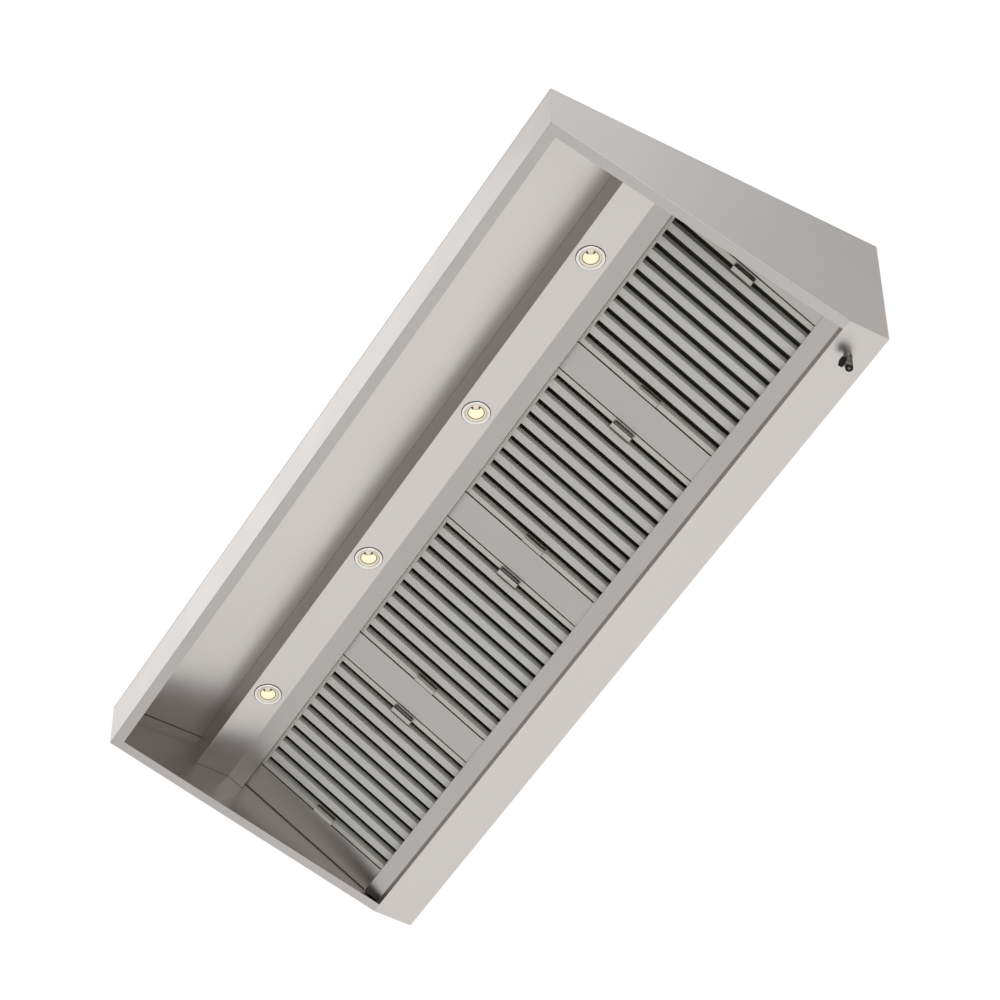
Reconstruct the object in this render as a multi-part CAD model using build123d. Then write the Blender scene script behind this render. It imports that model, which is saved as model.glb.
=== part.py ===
# Commercial wall canopy hood with four baffle filters, four lights, a grease gutter and a drain cock
# X runs along the hood, Y points into the wall, Z is up
# Everything is drawn from the wall face (Y 0) and the underside of the gutter (Z 0)
# Each piece is moved to the centre of the wall fixing holes when it is written out

from build123d import *
from math import asin, atan2, cos, hypot, sin
import os

# Canopy outline
hood_length = 2000.0
hood_depth = 800.0
hood_height = 320.0
fascia_height = 120.0
lip_width = 25.0
top_flange = 15.0
sheet = 1.5

# Grease gutter along the wall
gutter_width = 97.0
gutter_wall_height = 18.0

# Filter bank: standard square baffle filters between blanking plates
filter_count = 4
filter_module = 400.0
filter_side_gap = 1.5
filter_thickness = 48.0
blank_side_gap = 0.5
blank_return = 20.0

# Channels that carry the filters
seat_clearance = 0.3
lower_strip_width = 40.0
lower_strip_stand_off = 17.0
lower_engagement = 14.5
stop_height = 12.0
weep_notch_width = 14.0
upper_strip_width = 43.0
upper_strip_stand_off = 19.3
upper_engagement = 7.2
filter_lift = 16.0

# Baffle filter
frame_sheet = 1.0
frame_face = 13.5
baffle_sheet = 0.8
baffle_width = 20.0
baffle_gap = 19.0
front_baffle_depth = 19.0
rear_baffle_overhang = 7.0
rear_baffle_top = 14.0
rear_baffle_depth = 27.0
frame_weep_length = 22.0
frame_weep_height = 6.0
frame_weep_count = 3

# Finger pull on each side rail of a filter
pull_inset = 4.0
pull_width = 18.0
pull_length = 54.0
pull_height = 12.0
pull_reach = 14.5
pull_bend = 4.0
pull_sheet = 1.5
finger_slot_width = 8.5
finger_slot_side_gap = 2.0

# Light box
light_box_height = 73.3
light_bar_width = 85.0
cover_flange = 10.0
cover_set_in = 2.0

# Recessed lamp
lamp_hole_radius = 29.0
bezel_radius = 32.5
bezel_thickness = 4.0
bezel_barrel_gap = 0.5
bezel_height = 16.0
reflector_mouth_radius = 28.0
reflector_throat_radius = 20.0
reflector_depth = 10.0
lens_thickness = 3.0
lens_ledge = 2.0
lens_gap = 0.3
heat_sink_base = 4.0
heat_sink_roof_gap = 8.0
heat_sink_fin_thickness = 1.5
heat_sink_fin_pitch = 8.0
clip_width = 12.0
clip_sheet = 0.8
clip_reach = 18.0
clip_foot = 6.0

# Lamp driver
driver_length = 150.0
driver_width = 42.0
driver_height = 30.0
driver_ear_length = 14.0

# Exhaust collar on the roof
collar_radius = 157.0
collar_height = 50.0
collar_flange = 20.0
collar_from_wall = 250.0

# Cable gland in the roof above the light box
gland_from_end = 360.0
gland_hole_radius = 10.25
gland_thread_radius = 10.0
gland_bore_radius = 5.0
gland_hex = 24.0
gland_cap_hex = 22.0
gland_body_height = 8.0
gland_cap_height = 14.0
gland_thread_length = 10.0
gland_nut_height = 4.0

# Fixings
wall_hole_radius = 4.5
wall_hole_from_end = 150.0
wall_hole_margin = 60.0
hanger_from_end = 100.0
hanger_margin = 100.0
hanger_sheet = 3.0
hanger_width = 40.0
hanger_foot = 36.0
hanger_rise = 28.0
hanger_leg = 34.0
hanger_hole_radius = 5.5

# Drain cock under the right end of the gutter
drain_from_end = 80.0
drain_length = 40.0
drain_barrel_radius = 8.8
drain_outlet_radius = 8.3
drain_outlet_length = 6.0
drain_bore_radius = 5.0
drain_thread_radius = 8.3
drain_thread_gap = 0.3
drain_hex = 24.0
drain_hex_height = 4.0
drain_nut_height = 6.0
drain_thread_length = 9.0
plug_above_outlet = 14.0
plug_radius = 5.6
plug_port_radius = 3.8
plug_gap = 0.3
plug_blind = 6.5
boss_radius = 7.4
boss_reach = 12.0
stem_radius = 4.0
stem_gap = 0.1
knob_across_flats = 22.0
knob_thickness = 7.0
knob_gap = 0.5
knob_cap = 1.0
knob_edge = 1.0

# Values that follow from the sizes above
half = hood_length / 2
inner_half = half - sheet
rim_front = hood_height - fascia_height
rim_slope = rim_front / (hood_depth - gutter_width)
lip_half = half - lip_width
filter_length = filter_module - 2 * filter_side_gap
blank_module = (hood_length - filter_count * filter_module) / (filter_count + 1)
bank_pitch = filter_module + blank_module
module_xs = [(k - (filter_count - 1) / 2) * bank_pitch for k in range(filter_count)]
gland_x = half - gland_from_end
drain_x = half - drain_from_end
drain_y = -gutter_width / 2
origin_height = hood_height / 2
roof_under = hood_height - sheet

# The bank rises from the gutter to the light box, so a lower hood has a flatter bank, here 30 degrees
filter_foot = lower_strip_width - lower_engagement
filter_top = filter_foot + filter_length
upper_edge = filter_top - upper_engagement
bank_reach = upper_edge + upper_strip_width
bank_step = upper_strip_stand_off - lower_strip_stand_off
bank_rise = roof_under - light_box_height - gutter_wall_height
bank = asin(bank_rise / hypot(bank_reach, bank_step)) + atan2(bank_step, bank_reach)

# Frame of the filter bank: X along the hood, Y up the slope, Z out of the filter faces
bank_origin_y = -gutter_width + lower_strip_stand_off * sin(bank)
bank_origin_z = gutter_wall_height + lower_strip_stand_off * cos(bank)
bank_plane = Plane(
    origin=(0, bank_origin_y, bank_origin_z),
    x_dir=(1, 0, 0),
    z_dir=(0, -sin(bank), -cos(bank)),
)


def on_bank(up, out):
    """World (y, z) of a point given up the slope and out from the filter faces."""
    y = bank_origin_y - up * cos(bank) - out * sin(bank)
    z = bank_origin_z + up * sin(bank) - out * cos(bank)
    return (y, z)


fold_y, fold_z = on_bank(bank_reach, upper_strip_stand_off)
box_front_y = fold_y - light_bar_width
lamp_y = fold_y - light_bar_width / 2


def offset_path(points, distance):
    """Points of an open path moved sideways to its left by a distance, mitred at the corners."""
    moved = []
    for i, point in enumerate(points):
        normals = []
        for a, b in ((i - 1, i), (i, i + 1)):
            if a < 0 or b >= len(points):
                continue
            du = points[b][0] - points[a][0]
            dv = points[b][1] - points[a][1]
            size = (du * du + dv * dv) ** 0.5
            normals.append((-dv / size, du / size))
        nu = sum(n[0] for n in normals)
        nv = sum(n[1] for n in normals)
        scale = len(normals) * distance / (nu * nu + nv * nv)
        moved.append((point[0] + nu * scale, point[1] + nv * scale))
    return moved


def prism(points, plane, start, end):
    """Closed outline on a plane, extruded between two distances along the plane's normal."""
    face = plane.offset(start) * Polygon(*points, align=None)
    return extrude(face, amount=end - start, dir=plane.z_dir)


def folded(points, thickness, start, end, plane=Plane.YZ):
    """Sheet folded along a path, with its thickness on the path's left, from start to end."""
    return prism(points + offset_path(points, thickness)[::-1], plane, start, end)


def block(x0, x1, y0, y1, z0, z1):
    """Box between two corners."""
    return Pos((x0 + x1) / 2, (y0 + y1) / 2, (z0 + z1) / 2) * Box(abs(x1 - x0), abs(y1 - y0), abs(z1 - z0))


def drum(radius, z0, z1, x=0.0, y=0.0):
    """Upright cylinder between two heights."""
    return Pos(x, y, (z0 + z1) / 2) * Cylinder(radius, z1 - z0)


def hexagon(across_flats, z0, z1):
    """Upright hexagonal prism between two heights."""
    outline = RegularPolygon(across_flats / 2, 6, major_radius=False)
    return Pos(0, 0, z0) * extrude(outline, amount=z1 - z0)


def save(name, shape):
    """Write one piece with the origin at the centre of the wall fixing holes."""
    export_step(shape.moved(Location((0, 0, -origin_height))), f"parts/{name}.step")


os.makedirs("parts", exist_ok=True)

# Shell: roof, sides, fascia and rear panel
rim_normal = (1 + rim_slope ** 2) ** 0.5
rim_line = [(-hood_depth, rim_front), (-gutter_width, 0.0)]
lip_rise = sheet * rim_normal
lip_plan = lip_width / rim_normal
collar_inner = collar_radius - sheet

roof = block(-half, half, -hood_depth, 0, roof_under, hood_height)
roof -= drum(collar_inner, roof_under - 1, hood_height + 1, 0, -collar_from_wall)
roof -= drum(gland_hole_radius, roof_under - 1, hood_height + 1, gland_x, lamp_y)
save("roof_panel", roof)

side_outline = [
    (-hood_depth, rim_front),
    (-hood_depth, roof_under),
    (0, roof_under),
    (0, 0),
    (-gutter_width, 0),
]
lip_outline = [
    (-hood_depth, rim_front),
    (-gutter_width, 0),
    (-gutter_width, lip_rise),
    (-hood_depth, rim_front + lip_rise),
]
for side, name in ((-1, "side_panel_left"), (1, "side_panel_right")):
    wall = prism(side_outline, Plane.YZ, min(side * inner_half, side * half), max(side * inner_half, side * half))
    lip = prism(lip_outline, Plane.YZ, min(side * lip_half, side * inner_half), max(side * lip_half, side * inner_half))
    mitre = [
        (side * half, -hood_depth),
        (side * lip_half, -hood_depth + lip_plan),
        (side * lip_half, 1),
        (side * half, 1),
    ]
    lip &= prism(mitre, Plane.XY, 0, hood_height)
    flange = block(side * (inner_half - top_flange), side * inner_half, -hood_depth + sheet, -sheet,
                   roof_under - sheet, roof_under)
    save(name, wall + lip + flange)

fascia = block(-inner_half, inner_half, -hood_depth, -hood_depth + sheet, rim_front, roof_under)
lip = prism(lip_outline, Plane.YZ, -inner_half, inner_half)
mitre = [
    (-half, -hood_depth),
    (-lip_half, -hood_depth + lip_plan),
    (lip_half, -hood_depth + lip_plan),
    (half, -hood_depth),
]
lip &= prism(mitre, Plane.XY, 0, hood_height)
flange_half = inner_half - top_flange - seat_clearance
flange = block(-flange_half, flange_half, -hood_depth + sheet, -hood_depth + sheet + top_flange,
               roof_under - sheet, roof_under)
save("front_fascia", fascia + lip + flange)

rear = block(-inner_half, inner_half, -sheet, 0, 0, roof_under)
rear += block(-flange_half, flange_half, -sheet - top_flange, -sheet, roof_under - sheet, roof_under)
for side in (-1, 1):
    for row in (-1, 1):
        spot = Pos(side * (half - wall_hole_from_end), 0, origin_height + row * (origin_height - wall_hole_margin))
        rear -= spot * Rot(90, 0, 0) * Cylinder(wall_hole_radius, 4 * sheet)
save("rear_panel", rear)

# Grease gutter: a floor welded in between the rear panel, the sides and the front wall
gutter = block(-inner_half, inner_half, -gutter_width, -sheet, 0, sheet)
gutter -= drum(drain_thread_radius + drain_thread_gap, -1, sheet + 1, drain_x, drain_y)
save("grease_gutter", gutter)

# Lower filter channel, folded from one sheet with the gutter's front wall
stop_face = filter_foot - seat_clearance
channel_path = [
    (-gutter_width, sheet),
    on_bank(0, lower_strip_stand_off),
    on_bank(lower_strip_width, lower_strip_stand_off),
    on_bank(lower_strip_width, seat_clearance),
    on_bank(stop_face, seat_clearance),
    on_bank(stop_face, -stop_height),
]
channel = folded(channel_path[::-1], sheet, -inner_half, inner_half)
for side in (-1, 1):
    channel -= block(side * lip_half, side * half, -hood_depth, -gutter_width, 0, hood_height)
notch = block(-weep_notch_width / 2, weep_notch_width / 2,
              stop_face - 2 * sheet, stop_face + seat_clearance / 2, -stop_height - 1, seat_clearance)
weep_xs = [(j - (frame_weep_count - 1) / 2) * filter_module / frame_weep_count for j in range(frame_weep_count)]
for x in module_xs:
    for weep_x in weep_xs:
        channel -= bank_plane.location * Pos(x + weep_x, 0, 0) * notch
save("lower_filter_channel", channel)

# Light box with the upper filter channel folded from the same sheet, and its rear cover
ledge_end = filter_top + filter_lift + 2 * seat_clearance
box_path = [
    (box_front_y + top_flange, roof_under),
    (box_front_y, roof_under),
    (box_front_y, fold_z),
    (fold_y, fold_z),
    on_bank(upper_edge, upper_strip_stand_off),
    on_bank(upper_edge, seat_clearance),
    on_bank(ledge_end, seat_clearance),
]
corner_room = [
    block(side * flange_half, side * half, -hood_depth, 0, roof_under - sheet - seat_clearance, roof_under)
    for side in (-1, 1)
]
light_box = folded(box_path, sheet, -inner_half, inner_half)
for x in module_xs:
    light_box -= drum(lamp_hole_radius, fold_z - 1, fold_z + sheet + 1, x, lamp_y)
for room in corner_room:
    light_box -= room
save("light_box", light_box)

cover_y = fold_y - cover_set_in
cover_path = [
    (cover_y - cover_flange, fold_z + sheet),
    (cover_y, fold_z + sheet),
    (cover_y, roof_under),
    (cover_y - cover_flange, roof_under),
]
cover = folded(cover_path, sheet, -inner_half, inner_half)
for room in corner_room:
    cover -= room
save("light_box_cover", cover)

# Blanking plates between the filters and at both ends
for k in range(filter_count + 1):
    centre = (k - filter_count / 2) * bank_pitch
    left = max(centre - blank_module / 2 + blank_side_gap, -inner_half)
    right = min(centre + blank_module / 2 - blank_side_gap, inner_half)
    plate_path = [
        (left, -blank_return),
        (left, seat_clearance),
        (right, seat_clearance),
        (right, -blank_return),
    ]
    plate = folded(plate_path[::-1], sheet, -filter_top, -filter_foot, Plane.XZ)
    save(f"blank_plate_{k + 1}", bank_plane.location * plate)

# Exhaust collar
collar = drum(collar_radius, hood_height, hood_height + collar_height)
plate_half = collar_radius + collar_flange
collar += block(-plate_half, plate_half, -plate_half, plate_half, hood_height, hood_height + sheet)
collar -= drum(collar_inner, hood_height - 1, hood_height + collar_height + 1)
save("exhaust_collar", Pos(0, -collar_from_wall, 0) * collar)

# Hanger brackets on the roof
hanger_number = 0
for y in (-hood_depth + hanger_margin, -hanger_margin):
    for side in (-1, 1):
        hanger_number += 1
        path = [
            (-hanger_leg / 2 - hanger_foot, 0),
            (-hanger_leg / 2, 0),
            (-hanger_leg / 2, hanger_rise),
            (hanger_leg / 2, hanger_rise),
        ]
        bracket = folded(path, hanger_sheet, -hanger_width / 2, hanger_width / 2)
        bracket -= drum(hanger_hole_radius, hanger_rise - 1, hanger_rise + hanger_sheet + 1)
        turn = -90 if side > 0 else 90
        save(f"hanger_bracket_{hanger_number}",
             Pos(side * (half - hanger_from_end), y, hood_height) * Rot(0, 0, turn) * bracket)

# Cable gland
gland = drum(gland_thread_radius, -sheet - gland_thread_length, 0)
gland += hexagon(gland_hex, 0, gland_body_height)
gland += hexagon(gland_cap_hex, gland_body_height, gland_body_height + gland_cap_height)
gland -= drum(gland_bore_radius, -sheet - gland_thread_length - 1, gland_body_height + gland_cap_height + 1)
save("cable_gland", Pos(gland_x, lamp_y, hood_height) * gland)
nut = hexagon(gland_hex, -gland_nut_height, 0) - drum(gland_thread_radius + seat_clearance, -gland_nut_height - 1, 1)
save("cable_gland_nut", Pos(gland_x, lamp_y, roof_under) * nut)

# Lamp driver inside the light box
driver = block(-driver_length / 2, driver_length / 2, -driver_width / 2, driver_width / 2, 0, driver_height)
driver = chamfer(driver.edges().group_by(Axis.Z)[-1], 2)
for side in (-1, 1):
    driver += block(side * driver_length / 2, side * (driver_length / 2 + driver_ear_length),
                    -driver_width / 4, driver_width / 4, 0, sheet)
save("led_driver", Pos(0, lamp_y, fold_z + sheet) * driver)

# Recessed lamps
barrel_radius = lamp_hole_radius - bezel_barrel_gap
lens_seat_radius = reflector_throat_radius + lens_ledge
sink_level = bezel_height + heat_sink_base
bezel_outline = [
    (reflector_mouth_radius, -bezel_thickness),
    (bezel_radius, -bezel_thickness),
    (bezel_radius, 0),
    (barrel_radius, 0),
    (barrel_radius, bezel_height),
    (lens_seat_radius, bezel_height),
    (lens_seat_radius, reflector_depth),
    (reflector_throat_radius, reflector_depth),
]
bezel = revolve(Plane.XZ * Polygon(*bezel_outline, align=None), Axis.Z)
lens = drum(lens_seat_radius - lens_gap, reflector_depth, reflector_depth + lens_thickness)
sink = drum(barrel_radius, bezel_height, sink_level)
fin_total = 2 * int((barrel_radius - heat_sink_fin_thickness) / heat_sink_fin_pitch) + 1
for k in range(fin_total):
    x = (k - (fin_total - 1) / 2) * heat_sink_fin_pitch
    reach = (barrel_radius ** 2 - (abs(x) + heat_sink_fin_thickness / 2) ** 2) ** 0.5
    sink += block(x - heat_sink_fin_thickness / 2, x + heat_sink_fin_thickness / 2, -reach, reach,
                  sink_level, roof_under - fold_z - heat_sink_roof_gap)
clips = Part()
for side in (-1, 1):
    path = [
        (side * barrel_radius, bezel_height - clip_sheet),
        (side * barrel_radius, sheet + clip_foot),
        (side * (barrel_radius + clip_reach - clip_foot), sheet),
        (side * (barrel_radius + clip_reach), sheet + clip_foot / 3),
    ]
    clips += folded(path, side * clip_sheet, -clip_width / 2, clip_width / 2, Plane.XZ)
for name, piece in (("lamp_bezels", bezel), ("lamp_lenses", lens), ("lamp_heat_sinks", sink), ("lamp_clips", clips)):
    save(name, Part() + [Pos(x, lamp_y, fold_z) * piece for x in module_xs])

# One filter, drawn in the frame of the bank with its foot at the lower channel
inner_width = filter_length - 2 * frame_face
baffle_pitch = baffle_width + baffle_gap
baffle_count = round((inner_width - baffle_gap) / baffle_pitch)
bay = (inner_width - baffle_count * baffle_width) / (baffle_count + 1)
side_x = filter_length / 2

frame = block(-side_x, side_x, 0, filter_length, -filter_thickness, 0)
frame -= block(-side_x + frame_sheet, side_x - frame_sheet, frame_sheet, filter_length - frame_sheet,
               -filter_thickness + frame_sheet, -frame_sheet)
frame -= block(-inner_width / 2, inner_width / 2, frame_face, filter_length - frame_face,
               -filter_thickness - 1, 1)
for x in weep_xs:
    frame -= block(x - frame_weep_length / 2, x + frame_weep_length / 2, -1, frame_sheet + 1,
                   -frame_sheet - frame_weep_height, -frame_sheet)
pull_y0 = (filter_length - pull_length) / 2
pull_y1 = pull_y0 + pull_length
for side in (-1, 1):
    slot_x = side * (side_x - pull_inset)
    frame -= block(slot_x, slot_x - side * finger_slot_width,
                   pull_y0 + pull_sheet + finger_slot_side_gap, pull_y1 - pull_sheet - finger_slot_side_gap,
                   -frame_sheet - 0.1, 1)

front_baffles = Part()
for k in range(baffle_count):
    left = -inner_width / 2 + bay + k * (baffle_width + bay)
    path = [
        (left, -frame_sheet - front_baffle_depth),
        (left, -frame_sheet),
        (left + baffle_width, -frame_sheet),
        (left + baffle_width, -frame_sheet - front_baffle_depth),
    ]
    front_baffles += folded(path, -baffle_sheet, -filter_length + frame_sheet, -frame_sheet, Plane.XZ)

rear_baffles = Part()
for k in range(baffle_count + 1):
    left = -inner_width / 2 + k * (baffle_width + bay) - rear_baffle_overhang
    right = left + bay + 2 * rear_baffle_overhang
    path = [
        (left, -rear_baffle_top),
        (left, -rear_baffle_top - rear_baffle_depth),
        (right, -rear_baffle_top - rear_baffle_depth),
        (right, -rear_baffle_top),
    ]
    rear_baffles += folded(path, baffle_sheet, -filter_length + frame_sheet, -frame_sheet, Plane.XZ)

pulls = Part()
for side in (-1, 1):
    outer = side_x - pull_inset
    inner = outer - pull_width
    crown_path = [
        (side * inner, 0),
        (side * inner, pull_height - pull_bend),
        (side * (inner + pull_bend), pull_height),
        (side * (inner + pull_reach), pull_height),
    ]
    crown = folded(crown_path, -side * pull_sheet, -pull_y1, -pull_y0, Plane.XZ)
    cheek = crown_path + [(side * outer, 0)]
    ends = Part()
    for start in (pull_y0, pull_y1 - pull_sheet):
        ends += prism(cheek, Plane.XZ, -start - pull_sheet, -start)
    pulls += crown + ends

for k, x in enumerate(module_xs):
    place = bank_plane.location * Pos(x, filter_foot, 0)
    save(f"filter_{k + 1}_frame", place * frame)
    save(f"filter_{k + 1}_front_baffles", place * front_baffles)
    save(f"filter_{k + 1}_rear_baffles", place * rear_baffles)
    save(f"filter_{k + 1}_pulls", place * pulls)

# Drain cock: body through the gutter, lock nut, quarter-turn plug and its knob
plug_z = -drain_length + plug_above_outlet


def level_drum(radius, front, back):
    """Cylinder along Y at the height of the plug."""
    return Pos(0, (front + back) / 2, plug_z) * Rot(90, 0, 0) * Cylinder(radius, back - front)


body = drum(drain_thread_radius, -drain_hex_height, sheet + drain_thread_length)
body += hexagon(drain_hex, -drain_hex_height, 0)
body += drum(drain_barrel_radius, -drain_length + drain_outlet_length, -drain_hex_height)
body += drum(drain_outlet_radius, -drain_length, -drain_length + drain_outlet_length)
body += level_drum(boss_radius, -boss_reach, 0)
body -= level_drum(plug_radius + plug_gap, -boss_reach - 1, plug_blind + plug_gap)
body -= drum(drain_bore_radius, -drain_length - 1, sheet + drain_thread_length + 1)
nut = hexagon(drain_hex, sheet, sheet + drain_nut_height)
nut -= drum(drain_thread_radius + drain_thread_gap, 0, sheet + drain_nut_height + 1)

stem_end = -boss_reach - knob_gap - knob_thickness + knob_cap + stem_gap
plug = level_drum(plug_radius, -boss_reach, plug_blind) + level_drum(stem_radius, stem_end, -boss_reach)
plug -= drum(plug_port_radius, plug_z - 2 * plug_radius, plug_z + 2 * plug_radius)

knob_back = -boss_reach - knob_gap
knob = hexagon(knob_across_flats, 0, knob_thickness)
knob = chamfer(knob.edges().group_by(Axis.Z)[-1], knob_edge)
knob = Pos(0, knob_back, plug_z) * Rot(90, 0, 0) * knob
knob -= level_drum(stem_radius + stem_gap, knob_back - knob_thickness + knob_cap, knob_back + 1)

for name, piece in (("drain_body", body), ("drain_lock_nut", nut), ("drain_plug", plug), ("drain_knob", knob)):
    save(name, Pos(drain_x, drain_y, 0) * piece)
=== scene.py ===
"""Looks of a commercial wall canopy hood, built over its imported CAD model.

Sizes are in millimetres from the wall face (Y 0) and the underside of the gutter (Z 0),
as a maker would draw them. Each finished mesh is moved to the part's frame, in metres.
"""

import logging
from dataclasses import dataclass, field
from enum import Enum
from math import asin, atan2, cos, hypot, pi, radians, sin
from typing import Callable, Iterable, Sequence

import bmesh
import bpy
from mathutils import Matrix, Vector

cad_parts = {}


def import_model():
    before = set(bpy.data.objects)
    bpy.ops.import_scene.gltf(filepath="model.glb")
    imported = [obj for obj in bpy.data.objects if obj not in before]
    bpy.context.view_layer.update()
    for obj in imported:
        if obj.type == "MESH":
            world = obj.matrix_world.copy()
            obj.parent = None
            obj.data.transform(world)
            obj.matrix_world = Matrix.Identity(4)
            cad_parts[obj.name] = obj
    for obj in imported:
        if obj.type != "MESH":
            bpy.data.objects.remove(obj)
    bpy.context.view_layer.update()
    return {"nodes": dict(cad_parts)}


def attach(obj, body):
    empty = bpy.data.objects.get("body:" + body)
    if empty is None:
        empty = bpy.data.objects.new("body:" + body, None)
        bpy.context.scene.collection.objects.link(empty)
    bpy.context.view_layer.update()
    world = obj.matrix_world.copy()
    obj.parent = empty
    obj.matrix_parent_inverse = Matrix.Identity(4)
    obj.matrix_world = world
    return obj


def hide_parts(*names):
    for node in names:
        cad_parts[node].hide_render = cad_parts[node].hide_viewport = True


LOG = logging.getLogger("canopy_hood")
Point = tuple[float, float]
Hole = tuple[Sequence[float], float]
Colour = tuple[float, float, float, float]
Source = bpy.types.Node | bpy.types.NodeSocket
BMesh, BMFace, BMVert = bmesh.types.BMesh, bmesh.types.BMFace, bmesh.types.BMVert

MM = 0.001
ORIGIN_HEIGHT = 160.0
DRAWN_TO_PART = Matrix.Translation((0.0, 0.0, -ORIGIN_HEIGHT * MM)) @ Matrix.Scale(MM, 4)
SHARP_ANGLE = radians(32)
UP, DOWN, TO_WALL = Vector((0, 0, 1)), Vector((0, 0, -1)), Vector((0, 1, 0))
# A ribbon runs along X with its section in (Y, Z), and this turns it to run down the slope of the bank
DOWN_SLOPE = Matrix(((0, 1, 0, 0), (-1, 0, 0, 0), (0, 0, 1, 0), (0, 0, 0, 1)))


# Shared sizes of the canopy


@dataclass(frozen=True)
class HoodSizes:
    """Main sizes of the hood, the filter bank and the light bar, in millimetres."""

    length: float = 2000.0
    depth: float = 800.0
    height: float = 320.0
    fascia: float = 120.0
    lip: float = 25.0
    top_flange: float = 15.0
    sheet: float = 1.5
    fold: float = 2.0
    thin_fold: float = 1.2
    gutter_width: float = 97.0
    seat: float = 0.3
    module: float = 400.0
    filter_count: int = 4
    filter_side_gap: float = 1.5
    blank_side_gap: float = 0.5
    blank_return: float = 20.0
    strip_width: float = 40.0
    strip_stand_off: float = 17.0
    strip_wall: float = 18.0
    engagement: float = 14.5
    stop: float = 12.0
    upper_strip: float = 43.0
    upper_stand_off: float = 19.3
    upper_engagement: float = 7.2
    lift: float = 16.0
    light_box_height: float = 73.3
    light_bar: float = 85.0

    @property
    def half(self) -> float:
        """Half the hood's length."""
        return self.length / 2

    @property
    def inner_half(self) -> float:
        """Half the length between the side panels."""
        return self.half - self.sheet

    @property
    def roof_under(self) -> float:
        """Height of the underside of the roof."""
        return self.height - self.sheet

    @property
    def rim_front(self) -> float:
        """Height of the rim at the fascia."""
        return self.height - self.fascia

    @property
    def rim_slope(self) -> float:
        """Rise of the rim per millimetre towards the front."""
        return self.rim_front / (self.depth - self.gutter_width)

    @property
    def lip_plan(self) -> float:
        """Width of the sloping lip seen from below."""
        return self.lip / (1 + self.rim_slope ** 2) ** 0.5

    @property
    def filter_length(self) -> float:
        """Outside length and width of a filter."""
        return self.module - 2 * self.filter_side_gap

    @property
    def blank_module(self) -> float:
        """Width shared out to each blanking plate."""
        return (self.length - self.filter_count * self.module) / (self.filter_count + 1)

    @property
    def pitch(self) -> float:
        """Distance from one filter to the next."""
        return self.module + self.blank_module

    @property
    def module_xs(self) -> list[float]:
        """Middle of each filter along the hood."""
        return [(k - (self.filter_count - 1) / 2) * self.pitch for k in range(self.filter_count)]

    @property
    def foot(self) -> float:
        """Distance up the slope to the foot of the filters."""
        return self.strip_width - self.engagement

    @property
    def top(self) -> float:
        """Distance up the slope to the top of the filters."""
        return self.foot + self.filter_length

    @property
    def upper_edge(self) -> float:
        """Distance up the slope to the edge of the upper channel."""
        return self.top - self.upper_engagement

    @property
    def slope(self) -> float:
        """Slope of the bank, which rises from the gutter to the light box.

        Returns:
            The angle in radians.
        """
        reach = self.upper_edge + self.upper_strip
        step = self.upper_stand_off - self.strip_stand_off
        rise = self.roof_under - self.light_box_height - self.strip_wall
        return asin(rise / hypot(reach, step)) + atan2(step, reach)

    def bank_point(self, up: float, out: float) -> Point:
        """Drawn (y, z) of a point on the filter bank.

        Args:
            up: Distance up the slope.
            out: Distance out from the face of the filters.

        Returns:
            The y and z of the point.
        """
        origin_y = -self.gutter_width + self.strip_stand_off * sin(self.slope)
        origin_z = self.strip_wall + self.strip_stand_off * cos(self.slope)
        y = origin_y - up * cos(self.slope) - out * sin(self.slope)
        z = origin_z + up * sin(self.slope) - out * cos(self.slope)
        return (y, z)

    def bank_matrix(self, x: float = 0.0, up: float = 0.0) -> Matrix:
        """Matrix from a filter's own frame (across, up, out) to the drawn frame.

        Args:
            x: Place along the hood.
            up: Place up the slope.

        Returns:
            The matrix that places a mesh on the bank.
        """
        y, z = self.bank_point(up, 0.0)
        c, s = cos(self.slope), sin(self.slope)
        turn = Matrix(((1, 0, 0), (0, -c, -s), (0, s, -c))).to_4x4()
        return Matrix.Translation((x, y, z)) @ turn

    @property
    def bar_rear(self) -> Point:
        """Drawn (y, z) of the light bar's rear fold."""
        return self.bank_point(self.upper_edge + self.upper_strip, self.upper_stand_off)

    @property
    def lamp_y(self) -> float:
        """Drawn y of the lamps."""
        return self.bar_rear[0] - self.light_bar / 2


# Finishes


def linear(hex_colour: str, share: float = 1.0) -> Colour:
    """Turn an sRGB hex colour to linear.

    Args:
        hex_colour: Colour written as #RRGGBB.
        share: Factor that makes it darker or lighter.

    Returns:
        Linear red, green, blue and an alpha of 1.
    """
    parts = [int(hex_colour[i:i + 2], 16) / 255 for i in (1, 3, 5)]
    values = [c / 12.92 if c <= 0.04045 else ((c + 0.055) / 1.055) ** 2.4 for c in parts]
    red, green, blue = (min(1.0, c * share) for c in values)
    return (red, green, blue, 1.0)


def add_node(
    tree: bpy.types.NodeTree,
    kind: str,
    settings: dict[str, object] | None = None,
    values: dict[object, object] | None = None,
    links: dict[object, Source] | None = None,
) -> bpy.types.Node:
    """Add one node with its settings, socket values and links.

    Args:
        tree: Node tree that gets the node.
        kind: Node type name without its ShaderNode prefix.
        settings: Properties of the node.
        values: Socket name or number to default value.
        links: Socket name or number to the node or output that feeds it.

    Returns:
        The new node.
    """
    node = tree.nodes.new(f"ShaderNode{kind}")
    for key, value in (settings or {}).items():
        setattr(node, key, value)
    for key, value in (values or {}).items():
        node.inputs[key].default_value = value
    for key, source in (links or {}).items():
        output = source.outputs[0] if isinstance(source, bpy.types.Node) else source
        tree.links.new(output, node.inputs[key])
    return node


class Grain(Enum):
    """Direction of the brushing or rolling lines, as a turn about X and the axis that they follow."""

    LENGTH = (0.0, 0)
    DEPTH = (0.0, 1)
    HEIGHT = (0.0, 2)
    SLOPE = (150.0, 1)


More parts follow.
